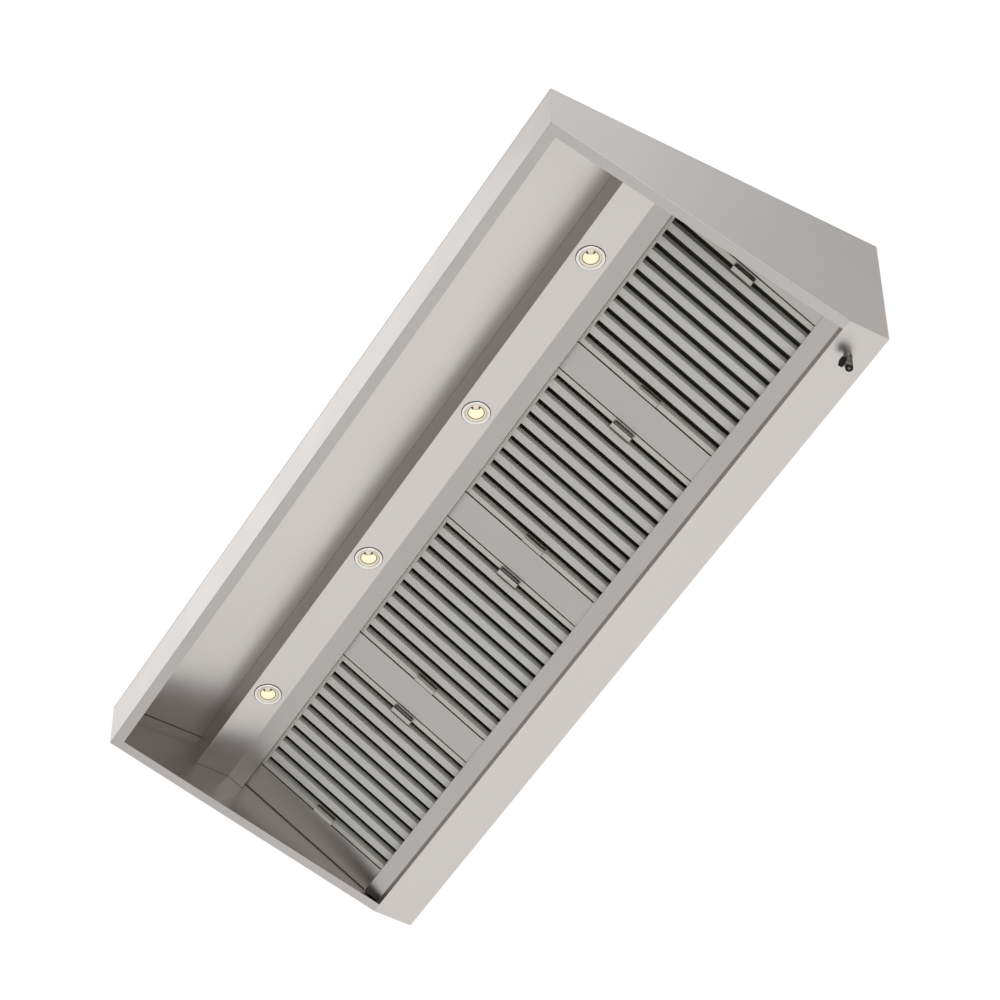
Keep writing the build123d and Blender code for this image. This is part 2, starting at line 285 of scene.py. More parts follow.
def new_material(name: str) -> tuple[bpy.types.Material, bpy.types.NodeTree, bpy.types.NodeSocket]:
    """Make a material that holds only object coordinates.

    Args:
        name: Name of the material.

    Returns:
        The material, its node tree and the coordinates.
    """
    material = bpy.data.materials.new(name)
    material.use_nodes = True
    material.node_tree.nodes.clear()
    place = add_node(material.node_tree, "TexCoord").outputs["Object"]
    return material, material.node_tree, place


def add_surface(
    tree: bpy.types.NodeTree, values: dict[str, object], links: dict[str, Source]
) -> None:
    """Add the shader and the output that a finish ends in.

    Args:
        tree: Node tree that gets them.
        values: Name of the shader's socket to default value.
        links: Name of the shader's socket to the node or output that feeds it.
    """
    shader = add_node(tree, "BsdfPrincipled", None, values, links)
    add_node(tree, "OutputMaterial", None, None, {"Surface": shader})


@dataclass(frozen=True)
class BrushedStainless:
    """Cold rolled 1.4301 stainless sheet, brushed with a 180 grit belt.

    The belt leaves long fine lines, so highlights are wide and soft, and handling leaves faint
    patches that are a little duller or brighter.
    """

    name: str
    colour: str = "#B7B3B0"
    roughness: float = 0.36
    grain: Grain = Grain.LENGTH
    line_mm: float = 2.6
    line_share: float = 0.8
    stroke_mm: float = 260.0
    patch_mm: float = 190.0
    relief_mm: float = 0.02
    metallic: float = 1.0

    def build(self) -> bpy.types.Material:
        """Make and give the material.

        Returns:
            The material.
        """
        material, tree, place = new_material(self.name)
        turn, axis = self.grain.value
        # Real belt lines are about 0.1 mm apart, so they are drawn coarser to show at all
        sizes = [self.line_mm * MM] * 3
        sizes[axis] = self.stroke_mm * MM
        lined = add_node(tree, "Mapping", {"vector_type": "TEXTURE"},
                         {"Rotation": (radians(turn), 0.0, 0.0), "Scale": sizes}, {"Vector": place})
        lines = add_node(tree, "TexNoise", None, {"Scale": 1.0, "Detail": 3.0, "Roughness": 0.6},
                         {"Vector": lined})
        per_metre = 1000.0 / self.patch_mm
        patches = add_node(tree, "TexNoise", None, {"Scale": per_metre, "Detail": 2.0, "Roughness": 0.5},
                           {"Vector": place})
        both = add_node(tree, "Math", {"operation": "MULTIPLY_ADD"}, {1: self.line_share},
                        {0: lines, 2: patches})
        tone = add_node(tree, "MapRange", None, {"From Min": 0.5, "From Max": 1.3},
                        {"Value": both})
        tint = add_node(tree, "Mix", {"data_type": "RGBA"},
                        {6: linear(self.colour, 0.93), 7: linear(self.colour, 1.05)}, {0: tone})
        polish = add_node(tree, "MapRange", None,
                          {"To Min": self.roughness - 0.05, "To Max": self.roughness + 0.06},
                          {"Value": tone})
        bump = add_node(tree, "Bump", None, {"Strength": 0.25, "Distance": self.relief_mm * MM},
                        {"Height": lines})
        add_surface(tree, {"Metallic": self.metallic},
                    {"Base Color": tint.outputs[2], "Roughness": polish, "Normal": bump})
        return material


@dataclass(frozen=True)
class GalvanisedSheet:
    """Hot dip galvanised steel, whose zinc froze in flat crystals about 12 mm across.

    The eye sees a patchwork of pale and darker grey spangles under a dull shine.
    """

    name: str
    colour: str = "#A9AEB1"
    roughness: float = 0.46
    spangle_mm: float = 12.0

    def build(self) -> bpy.types.Material:
        """Make and give the material.

        Returns:
            The material.
        """
        material, tree, place = new_material(self.name)
        cells = add_node(tree, "TexVoronoi", None, {"Scale": 1000.0 / self.spangle_mm},
                         {"Vector": place})
        grey = add_node(tree, "RGBToBW", None, None, {0: cells.outputs["Color"]})
        tint = add_node(tree, "Mix", {"data_type": "RGBA"},
                        {6: linear(self.colour, 0.72), 7: linear(self.colour, 1.15)}, {0: grey})
        polish = add_node(tree, "MapRange", None,
                          {"To Min": self.roughness - 0.1, "To Max": self.roughness + 0.1},
                          {"Value": grey})
        add_surface(tree, {"Metallic": 1.0}, {"Base Color": tint.outputs[2], "Roughness": polish})
        return material


@dataclass(frozen=True)
class MouldedOrCast:
    """Plain material with a fine skin: moulded plastic, cast aluminium or turned steel.

    The skin's grain is a fraction of a millimetre, drawn a little coarser so that it shows close up.
    """

    name: str
    colour: str
    roughness: float
    metallic: float = 0.0
    grain_mm: float = 1.2
    wear_grains: float = 14.0
    relief_mm: float = 0.05
    unevenness: float = 0.06
    painted_glow: float = 0.0
    gloss: float = 0.5

    def build(self) -> bpy.types.Material:
        """Make and give the material.

        Returns:
            The material.
        """
        material, tree, place = new_material(self.name)
        per_metre = 1000.0 / self.grain_mm
        skin = add_node(tree, "TexNoise", None, {"Scale": per_metre, "Detail": 4.0, "Roughness": 0.65},
                        {"Vector": place})
        wear = add_node(tree, "TexNoise", None, {"Scale": per_metre / self.wear_grains, "Detail": 2.0},
                        {"Vector": place})
        swing = 2 * self.unevenness
        tint = add_node(tree, "Mix", {"data_type": "RGBA"},
                        {6: linear(self.colour, 1 - swing), 7: linear(self.colour, 1 + swing)},
                        {0: wear})
        polish = add_node(tree, "MapRange", None,
                          {"From Min": 0.3, "From Max": 0.7, "To Min": self.roughness - 0.06,
                           "To Max": self.roughness + 0.08}, {"Value": wear})
        bump = add_node(tree, "Bump", None, {"Strength": 0.3, "Distance": self.relief_mm * MM},
                        {"Height": skin})
        values = {"Metallic": self.metallic, "Specular IOR Level": self.gloss}
        # A part that is no lamp can glow faintly in its own colour: painted light
        if self.painted_glow:
            values |= {"Emission Color": linear(self.colour), "Emission Strength": self.painted_glow}
        add_surface(tree, values, {"Base Color": tint.outputs[2], "Roughness": polish, "Normal": bump})
        return material


@dataclass(frozen=True)
class LitDiffuser:
    """Frosted polycarbonate lens with a warm white LED behind it.

    It glows evenly with a faint mottle from the pebbles and shows a soft pebbled face.
    """

    name: str
    colour: str = "#C9C2A6"
    glow: str = "#FFF8D0"
    strength: float = 0.63
    roughness: float = 0.4
    pebble_mm: float = 3.0
    relief_mm: float = 0.4

    def build(self) -> bpy.types.Material:
        """Make and give the material.

        Returns:
            The material.
        """
        material, tree, place = new_material(self.name)
        pebbles = add_node(tree, "TexVoronoi", None, {"Scale": 1000.0 / self.pebble_mm},
                           {"Vector": place})
        depth = pebbles.outputs["Distance"]
        bump = add_node(tree, "Bump", None, {"Strength": 0.4, "Distance": self.relief_mm * MM},
                        {"Height": depth})
        tint = add_node(tree, "Mix", {"data_type": "RGBA"},
                        {6: linear(self.glow), 7: linear(self.glow, 0.9)}, {0: depth})
        add_surface(tree, {"Base Color": linear(self.colour), "Roughness": self.roughness,
                           "Emission Strength": self.strength},
                    {"Emission Color": tint.outputs[2], "Normal": bump})
        return material


Finish = BrushedStainless | GalvanisedSheet | MouldedOrCast | LitDiffuser


# Sheet and turning work


def moved_new(bm: BMesh, made: Iterable[object], offset: Sequence[float]) -> list[BMVert]:
    """Move the vertices among what an operator has just made.

    Args:
        bm: Mesh that holds them.
        made: What the operator gave back.
        offset: How far they move.

    Returns:
        The moved vertices.
    """
    fresh = [g for g in made if isinstance(g, BMVert)]
    bmesh.ops.translate(bm, verts=fresh, vec=offset)
    return fresh


def folded_sheet(path: Sequence[Point], start: float, end: float, fold: float) -> BMesh:
    """Fold an open ribbon along a path in (Y, Z), running along X, with its outer side on the path's right.

    Args:
        path: Points of the outer face.
        start: First end along X.
        end: Second end along X.
        fold: Set-back of each rounded fold.

    Returns:
        The ribbon, still without thickness.
    """
    bm = bmesh.new()
    corners = [bm.verts.new((start, u, v)) for u, v in path]
    edges = [bm.edges.new(pair) for pair in zip(corners, corners[1:])]
    moved_new(bm, bmesh.ops.extrude_edge_only(bm, edges=edges)["geom"], (end - start, 0, 0))
    bmesh.ops.recalc_face_normals(bm, faces=bm.faces[:])
    first = corners[0].link_faces[0]
    du, dv = path[1][0] - path[0][0], path[1][1] - path[0][1]
    if first.normal.dot(Vector((0, dv, -du))) < 0:
        bmesh.ops.reverse_faces(bm, faces=bm.faces[:])
    round_folds(bm, fold)
    return bm


def round_folds(bm: BMesh, fold: float) -> None:
    """Round every edge between two faces that aren't in line.

    Args:
        bm: Sheet without thickness.
        fold: Set-back of the rounding.
    """
    folds = [e for e in bm.edges if len(e.link_faces) == 2 and e.calc_face_angle(0.0) > radians(5)]
    if folds and fold > 0:
        bmesh.ops.bevel(bm, geom=folds, offset=fold, segments=4, profile=0.5, affect="EDGES", material=-1)


def cut_away(
    bm: BMesh,
    planes: Iterable[tuple[Sequence[float], Sequence[float]]],
    gone: Callable[[Vector], bool],
) -> None:
    """Score the sheet along planes, then remove the faces that a test picks.

    Args:
        bm: Sheet without thickness.
        planes: Point and normal of each plane.
        gone: Test on a face's centre.
    """
    for point, normal in planes:
        whole = bm.verts[:] + bm.edges[:] + bm.faces[:]
        bmesh.ops.bisect_plane(bm, geom=whole, plane_co=point, plane_no=normal)
    picked = [f for f in bm.faces if gone(f.calc_center_median())]
    bmesh.ops.delete(bm, geom=picked, context="FACES")


def mitre(bm: BMesh, point: Sequence[float], normal: Sequence[float]) -> None:
    """Cut off everything on the far side of a plane.

    Args:
        bm: Sheet without thickness.
        point: Point on the plane.
        normal: Direction of the side that goes.
    """
    bmesh.ops.bisect_plane(bm, geom=bm.verts[:] + bm.edges[:] + bm.faces[:], plane_co=point, plane_no=normal,
                           clear_outer=True)


def pierce(bm: BMesh, face: BMFace, holes: Sequence[Hole], steps: int = 64) -> None:
    """Cut round holes through one flat face.

    Args:
        bm: Sheet without thickness.
        face: The face that gets the holes.
        holes: Centre and radius of each hole.
        steps: Sides of each circle.
    """
    normal = face.normal.copy()
    rim = list(face.edges)
    bmesh.ops.delete(bm, geom=[face], context="FACES_ONLY")
    turn = UP.rotation_difference(normal).to_matrix().to_4x4()
    for centre, radius in holes:
        ring = bmesh.ops.create_circle(bm, segments=steps, radius=radius,
                                       matrix=Matrix.Translation(centre) @ turn)
        rim += list({e for v in ring["verts"] for e in v.link_edges})
    bmesh.ops.triangle_fill(bm, use_beauty=True, use_dissolve=False, edges=rim, normal=normal)


def thicken(bm: BMesh, thickness: float) -> BMesh:
    """Give a sheet its thickness, inwards from its outer face.

    Args:
        bm: Sheet without thickness.
        thickness: Thickness of the sheet.

    Returns:
        The finished sheet.
    """
    bmesh.ops.remove_doubles(bm, verts=bm.verts[:], dist=0.001)
    bmesh.ops.solidify(bm, geom=bm.faces[:], thickness=thickness)
    bmesh.ops.recalc_face_normals(bm, faces=bm.faces[:])
    return bm


def largest_face(bm: BMesh, way: Vector, above: float = float("-inf")) -> BMFace:
    """Find the largest face that looks one way.

    Args:
        bm: Mesh to search.
        way: Direction of the wanted normal.
        above: Height that the face must lie above.

    Returns:
        The face.
    """
    found = (f for f in bm.faces if f.normal.dot(way) > 0.99 and f.calc_center_median().z > above)
    return max(found, key=lambda f: f.calc_area())


def look_towards(bm: BMesh, way: Sequence[float]) -> None:
    """Turn every face over unless the largest one looks one way.

    Args:
        bm: Sheet without thickness.
        way: Direction in which its outer side looks.
    """
    if max(bm.faces, key=lambda f: f.calc_area()).normal.dot(Vector(way)) < 0:
        bmesh.ops.reverse_faces(bm, faces=bm.faces[:])


def turned(profile: Sequence[Point], steps: int = 48, closed: bool = True) -> BMesh:
    """Turn a profile about Z.

    Args:
        profile: Radius and height of each point.
        steps: Steps of the full turn.
        closed: True where the last point joins the first.

    Returns:
        The turned mesh.
    """
    bm = bmesh.new()
    corners = [bm.verts.new((r, 0, z)) for r, z in profile]
    pairs = list(zip(corners, corners[1:])) + ([(corners[-1], corners[0])] if closed else [])
    edges = [bm.edges.new(pair) for pair in pairs]
    bmesh.ops.spin(bm, geom=corners + edges, cent=(0, 0, 0), axis=UP, angle=2 * pi, steps=steps,
                   use_merge=True)
    bmesh.ops.remove_doubles(bm, verts=bm.verts[:], dist=0.001)
    bmesh.ops.recalc_face_normals(bm, faces=bm.faces[:])
    return bm


def eased(bm: BMesh, size: float, steps: int = 2) -> BMesh:
    """Round all edges of a block.

    Args:
        bm: The block.
        size: Size of the rounding.
        steps: Steps across the rounding.

    Returns:
        The same mesh.
    """
    bmesh.ops.bevel(bm, geom=bm.edges[:], offset=size, segments=steps, profile=0.5, affect="EDGES",
                    material=-1)
    return bm


def block(size: Sequence[float], place: Matrix) -> BMesh:
    """Make a rectangular block with rounded edges.

    Args:
        size: Width, depth and height.
        place: Where its middle goes.

    Returns:
        The block.
    """
    bm = bmesh.new()
    bmesh.ops.create_cube(bm, size=1.0, matrix=place @ Matrix.Diagonal((*size, 1.0)))
    return eased(bm, 0.5, 3)


def hexagon(across_flats: float, low: float, high: float, ease: float) -> BMesh:
    """Make an upright hexagonal block with eased edges.

    Args:
        across_flats: Width across the flats.
        low: Height of the lower face.
        high: Height of the upper face.
        ease: Size of the eased edges.

    Returns:
        The block.
    """
    bm = bmesh.new()
    bmesh.ops.create_circle(bm, cap_ends=True, segments=6, radius=across_flats / 2 / cos(pi / 6),
                            matrix=Matrix.Translation((0, 0, low)) @ Matrix.Rotation(pi / 6, 4, "Z"))
    moved_new(bm, bmesh.ops.extrude_face_region(bm, geom=bm.faces[:])["geom"], (0, 0, high - low))
    bmesh.ops.recalc_face_normals(bm, faces=bm.faces[:])
    return eased(bm, ease)


def joined(*parts: BMesh) -> BMesh:
    """Put several meshes into the first one.

    Args:
        parts: Meshes to join; all but the first are freed.

    Returns:
        The first mesh with the others in it.
    """
    whole = parts[0]
    for part in parts[1:]:
        spare = bpy.data.meshes.new("spare")
        part.to_mesh(spare)
        part.free()
        whole.from_mesh(spare)
        bpy.data.meshes.remove(spare)
    return whole


def moved(bm: BMesh, matrix: Matrix) -> BMesh:
    """Move a whole mesh.

    Args:
        bm: Mesh to move.
        matrix: Where it goes.

    Returns:
        The same mesh.
    """
    bmesh.ops.transform(bm, matrix=matrix, verts=bm.verts[:])
    return bm


def mirrored(bm: BMesh) -> BMesh:
    """Mirror a whole mesh from right to left.

    Args:
        bm: Mesh to mirror.

    Returns:
        The same mesh.
    """
    moved(bm, Matrix.Scale(-1, 4, (1, 0, 0)))
    bmesh.ops.reverse_faces(bm, faces=bm.faces[:])
    return bm


def repeated(bm: BMesh, offsets: Sequence[Sequence[float]]) -> BMesh:
    """Copy a mesh to several places.

    Args:
        bm: Mesh to repeat.
        offsets: Place of each copy.

    Returns:
        The mesh with every copy, the first one moved as well.
    """
    source = bm.verts[:] + bm.edges[:] + bm.faces[:]
    first = bm.verts[:]
    for offset in offsets[1:]:
        moved_new(bm, bmesh.ops.duplicate(bm, geom=source)["geom"], offset)
    bmesh.ops.translate(bm, verts=first, vec=offsets[0])
    return bm


def placed(name: str, data: bpy.types.ID) -> bpy.types.Object:
    """Put a new object into the scene.

    Args:
        name: Name of the object.
        data: Its mesh, lamp or camera.

    Returns:
        The object.
    """
    thing = bpy.data.objects.new(name, data)
    bpy.context.scene.collection.objects.link(thing)
    return thing


@dataclass
class Bench:
    """Turns finished meshes into dressed pieces, and keeps the CAD nodes and the materials."""

    nodes: dict[str, bpy.types.Object]
    materials: dict[str, bpy.types.Material] = field(default_factory=dict)

    def material(self, finish: Finish) -> bpy.types.Material:
        """Give the material of a finish, made once.

        Args:
            finish: One of the finish classes.

        Returns:
            The material.
        """
        if finish.name not in self.materials:
            self.materials[finish.name] = finish.build()
        return self.materials[finish.name]

    def piece(
        self,
        bm: BMesh,
        name: str,
        finish: Finish,
        slot: str,
        nodes: Sequence[str] = (),
        body: str = "canopy",
        smooth: bool = False,
        painted_shade_finish: Finish | None = None,
    ) -> None:
        """Turn a drawn mesh into a piece in the part's frame.

        Args:
            bm: Mesh in millimetres in the drawn frame.
            name: Name of the piece.
            finish: Finish that it gets.
            slot: Material slot of the record. Not used.
            nodes: CAD nodes that it stands for.
            body: CAD body that it rides on.
            smooth: True for turned pieces.
            painted_shade_finish: Darker finish, painted shade, of the faces that were given material number
                1.
        """
        moved(bm, DRAWN_TO_PART)
        mesh = bpy.data.meshes.new(name)
        bm.to_mesh(mesh)
        bm.free()
        if smooth:
            mesh.shade_smooth()
            mesh.set_sharp_from_angle(angle=SHARP_ANGLE)
        mesh.materials.append(self.material(finish))
        # A second, darker finish paints shade on the faces given material number 1
        if painted_shade_finish:
            mesh.materials.append(self.material(painted_shade_finish))
        piece = placed(name, mesh)
        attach(piece, body)
        if nodes:
            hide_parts(*nodes)
        LOG.info("%s: %d faces on %s", name, len(mesh.polygons), body)

    def dress(self, name: str, finish: Finish) -> None:
        """Give a CAD node its finish.

        Args:
            name: Name of the node.
            finish: Finish that it gets.
        """
        node = self.nodes[name]
        node.data.materials.clear()
        node.data.materials.append(self.material(finish))
        LOG.info("%s dressed as %s", name, finish.name)


SHEET_LONG = BrushedStainless("brushed_stainless_along")
SHEET_SIDE = BrushedStainless("brushed_stainless_side", "#B6B2B0", grain=Grain.DEPTH)
# The side panels' faces inside the hood get a darker steel colour: painted shade for the dim light inside the
# canopy.
SHEET_INSIDE_SHADE = BrushedStainless("brushed_stainless_painted_shade", "#989491", grain=Grain.DEPTH)
SHEET_BANK = BrushedStainless("brushed_stainless_bank", grain=Grain.SLOPE)
FILTER_STEEL = BrushedStainless("filter_frame_stainless", "#C2C0BA", 0.5, Grain.SLOPE, metallic=0.6)
PULL_STEEL = BrushedStainless("pressed_pull_stainless", "#C4C2BC", 0.52, Grain.SLOPE, metallic=0.5)
# Grease film dulls the baffles, so they scatter light like satin paint and their flanks stay mid grey
BAFFLE_STEEL = BrushedStainless("filter_baffle_stainless", "#C9C8C4", 0.55, Grain.SLOPE, 1.8, metallic=0.25)
# Same steel as the front baffles, painted much darker: painted shade for the dark cavity behind them. The
# pulls' shaded faces take it too.
SHADED_BAFFLE_STEEL = BrushedStainless("baffle_stainless_painted_shade", "#78756F", 0.5, Grain.SLOPE, 1.8)
ZINC = GalvanisedSheet("galvanised_spangle")
LAMP_RING = MouldedOrCast("nickel_plated_lamp_ring", "#DEDBD6", 0.46, 1.0, 0.8, relief_mm=0.01,
                          unevenness=0.02)
# The reflector glows faintly in its cream colour: painted light from the LED behind the lens
REFLECTOR = MouldedOrCast("white_lacquered_reflector", "#E8DDCC", 0.4, grain_mm=0.8, relief_mm=0.01,
                          unevenness=0.01, painted_glow=0.2)
# Black rubber for the drain's outlet seal; the same black paints the shadow gaps around the lamp rings and
# beside the filters
RUBBER_AND_SHADE_BLACK = MouldedOrCast("black_rubber_and_painted_shade", "#141412", 0.6, grain_mm=0.7, relief_mm=0.03, gloss=0.25)
SEALANT = MouldedOrCast("smoothed_grey_sealant", "#585652", 0.6, grain_mm=1.5, relief_mm=0.05, gloss=0.25)
LAMP_LENS = LitDiffuser("warm_frosted_lens")
HEAT_SINK = MouldedOrCast("die_cast_aluminium", "#A7AAAD", 0.5, 1.0, 0.9, relief_mm=0.06)
BRONZE = MouldedOrCast("drawn_bronze_wire", "#6E6038", 0.45, 1.0, 0.7, relief_mm=0.02)
SPRING = MouldedOrCast("bare_spring_steel", "#8E8F92", 0.35, 1.0, 0.7, relief_mm=0.02)
DRAIN_STEEL = MouldedOrCast("turned_steel_drain", "#75736F", 0.34, 1.0, 0.6, relief_mm=0.02)
BLACK_KNOB = MouldedOrCast("moulded_black_nylon", "#0E0E10", 0.5, grain_mm=0.7, relief_mm=0.05, gloss=0.15)
GREY_NYLON = MouldedOrCast("moulded_grey_nylon", "#76797C", 0.5, grain_mm=0.7, relief_mm=0.05)
WHITE_CASE = MouldedOrCast("moulded_white_polycarbonate", "#DEDDD9", 0.45, grain_mm=0.7, relief_mm=0.04)


# Sub-assemblies


@dataclass
class SubAssembly:
    """Group of pieces that is drawn from the hood's sizes and finished at the bench."""

    sizes: HoodSizes
    bench: Bench

    def lengthwise(self, path: Sequence[Point], fold: float) -> BMesh:
        """Fold a ribbon that runs from one side panel to the other.

        Args:
            path: Points of the outer face in (Y, Z).
            fold: Set-back of each rounded fold.

        Returns:
            The ribbon, still without thickness.
        """
        return folded_sheet(path, -self.sizes.inner_half, self.sizes.inner_half, fold)


@dataclass
class Shell(SubAssembly):
    """Roof, side panels, fascia and rear panel."""

    collar_radius: float = 155.5
    collar_y: float = -250.0
    gland_radius: float = 10.25
    gland_x: float = 640.0
    wall_hole_radius: float = 4.5
    wall_hole_x: float = 850.0
    wall_hole_z: Point = (60.0, 260.0)
    side_fold: float = 0.8

    def roof(self) -> BMesh:
        """Make the flat roof with the duct hole and the gland hole.

        Returns:
            The roof.
        """
        s = self.sizes
        bm = folded_sheet([(0.0, s.height), (-s.depth, s.height)], -s.half, s.half, s.fold)
        pierce(bm, largest_face(bm, UP), [((0, self.collar_y, s.height), self.collar_radius),
                                          ((self.gland_x, s.lamp_y, s.height), self.gland_radius)])
        return thicken(bm, s.sheet)

    def fascia(self) -> BMesh:
        """Make the upright fascia with its mitred lip and top flange.

        Returns:
            The fascia.
        """
        s = self.sizes
        rim = s.rim_front - s.lip_plan * s.rim_slope
        path = [(-s.depth + s.sheet + s.top_flange, s.roof_under), (-s.depth, s.roof_under),
                (-s.depth, s.rim_front), (-s.depth + s.lip_plan, rim)]
        bm = self.lengthwise(path, s.fold)
        for side in (-1, 1):
            mitre(bm, (side * s.half, -s.depth, 0), (side * s.lip_plan, s.lip, 0))
        return thicken(bm, s.sheet)

    def side(self, side: int) -> BMesh:
        """Make one five-sided panel with its lip and top flange.

        Args:
            side: 1 for the right panel, -1 for the left one.

        Returns:
            The panel.
        """
        s = self.sizes
        bm = bmesh.new()
        outline = [(-s.depth, s.rim_front), (-s.depth, s.roof_under), (0.0, s.roof_under), (0.0, 0.0),
                   (-s.gutter_width, 0.0)]
        corners = [bm.verts.new((side * s.half, y, z)) for y, z in outline]
        bm.faces.new(corners).normal_update()
        look_towards(bm, (side, 0, 0))
        lip_edge = bm.edges.get((corners[0], corners[4]))
        top_edge = bm.edges.get((corners[1], corners[2]))
        # Each flange is drawn square, then its ends are moved in to the mitres
        for edge, inward in ((lip_edge, s.lip), (top_edge, s.sheet + s.top_flange)):
            grown = bmesh.ops.extrude_edge_only(bm, edges=[edge])["geom"]
            rear, front = sorted(moved_new(bm, grown, (-side * inward, 0, 0)), key=lambda v: -v.co.y)
            if edge is lip_edge:
                front.co += Vector((0, s.lip_plan, -s.lip_plan * s.rim_slope))
            else:
                front.co.y += s.top_flange
                rear.co.y -= s.top_flange
        bmesh.ops.recalc_face_normals(bm, faces=bm.faces[:])
        look_towards(bm, (side, 0, 0))
        round_folds(bm, self.side_fold)
        thicken(bm, s.sheet)
        # Faces that look into the hood get material number 1, the darker steel painted as shade
        for face in bm.faces:
            face.material_index = int(face.normal.x * side < -0.9)
        return bm

    def rear(self) -> BMesh:
        """Make the wall panel with its four fixing holes and top flange.

        Returns:
            The panel.
        """
        s = self.sizes
        path = [(0.0, 0.0), (0.0, s.roof_under), (-s.sheet - s.top_flange, s.roof_under)]
        bm = self.lengthwise(path, s.fold)
        for side in (-1, 1):
            mitre(bm, (side * s.inner_half, 0, s.roof_under), (side, 1.0, 0))
        holes = [((side * self.wall_hole_x, 0, z), self.wall_hole_radius)
                 for side in (-1, 1) for z in self.wall_hole_z]
        pierce(bm, largest_face(bm, TO_WALL), holes, 32)
        return thicken(bm, s.sheet)

    def build(self) -> None:
        """Make and dress the pieces."""
        piece, steel = self.bench.piece, "satin_stainless"
        piece(self.roof(), "roof_sheet", SHEET_LONG, steel, ["roof_panel"])
        piece(self.fascia(), "fascia_sheet", SHEET_LONG, steel, ["front_fascia"])
        for side, end in ((-1, "left"), (1, "right")):
            # The inner faces take the darker steel as painted shade
            piece(self.side(side), f"{end}_side_sheet", SHEET_SIDE, steel, [f"side_panel_{end}"],
                  painted_shade_finish=SHEET_INSIDE_SHADE)
        piece(self.rear(), "rear_sheet", SHEET_LONG, steel, ["rear_panel"])


@dataclass
class GutterAndChannel(SubAssembly):
    """Gutter floor, and the lower channel folded in one with the gutter's front wall."""

    drain_x: float = 920.0
    drain_radius: float = 8.6
    strip_half: float = 984.5
    notch_width: float = 14.0
    notch_pitch: float = 400.0 / 3

    def floor(self) -> BMesh:
        """Make the floor of the gutter with its drain hole.

        Returns:
            The floor.
        """
        s = self.sizes
        bm = self.lengthwise([(-s.gutter_width, 0.0), (-s.sheet, 0.0)], s.fold)
        pierce(bm, largest_face(bm, DOWN), [((self.drain_x, -s.gutter_width / 2, 0), self.drain_radius)], 32)
        return thicken(bm, s.sheet)

    def channel(self) -> BMesh:
        """Make the front wall, strip, return, ledge and stop with the weep notches.

        Returns:
            The channel.
        """
        s = self.sizes
        stop_face = s.foot - s.seat
        path = [(-s.gutter_width, s.sheet), s.bank_point(0, s.strip_stand_off),
                s.bank_point(s.strip_width, s.strip_stand_off), s.bank_point(s.strip_width, s.seat),
                s.bank_point(stop_face, s.seat), s.bank_point(stop_face, -s.stop)]
        bm = self.lengthwise(path[::-1], s.thin_fold)
        cut_away(bm, [((side * self.strip_half, 0, 0), (1, 0, 0)) for side in (-1, 1)],
                 lambda c: abs(c.x) > self.strip_half and c.y < -s.gutter_width - 0.01)
        to_bank = s.bank_matrix().inverted()
        half = self.notch_width / 2
        notches = [x + j * self.notch_pitch for x in s.module_xs for j in (-1, 0, 1)]

        def in_notch(centre: Vector) -> bool:
            """Tell whether a face lies in a notch, where the ledge meets the stop.

            Args:
                centre: Centre of the face.

            Returns:
                True for a face that goes.
            """
            up, out = (to_bank @ centre).yz
            across = any(abs(centre.x - x) < half for x in notches)
            return across and out < s.seat + 0.2 and stop_face - 3 < up < stop_face + 2 * s.sheet

        cut_away(bm, [((x + k * half, 0, 0), (1, 0, 0)) for x in notches for k in (-1, 1)], in_notch)
        return thicken(bm, s.sheet)

    def build(self) -> None:
        """Make and dress the pieces."""
        piece, steel = self.bench.piece, "satin_stainless"
        piece(self.floor(), "gutter_floor", SHEET_LONG, steel, ["grease_gutter"])
        piece(self.channel(), "lower_channel_sheet", SHEET_LONG, steel, ["lower_filter_channel"])


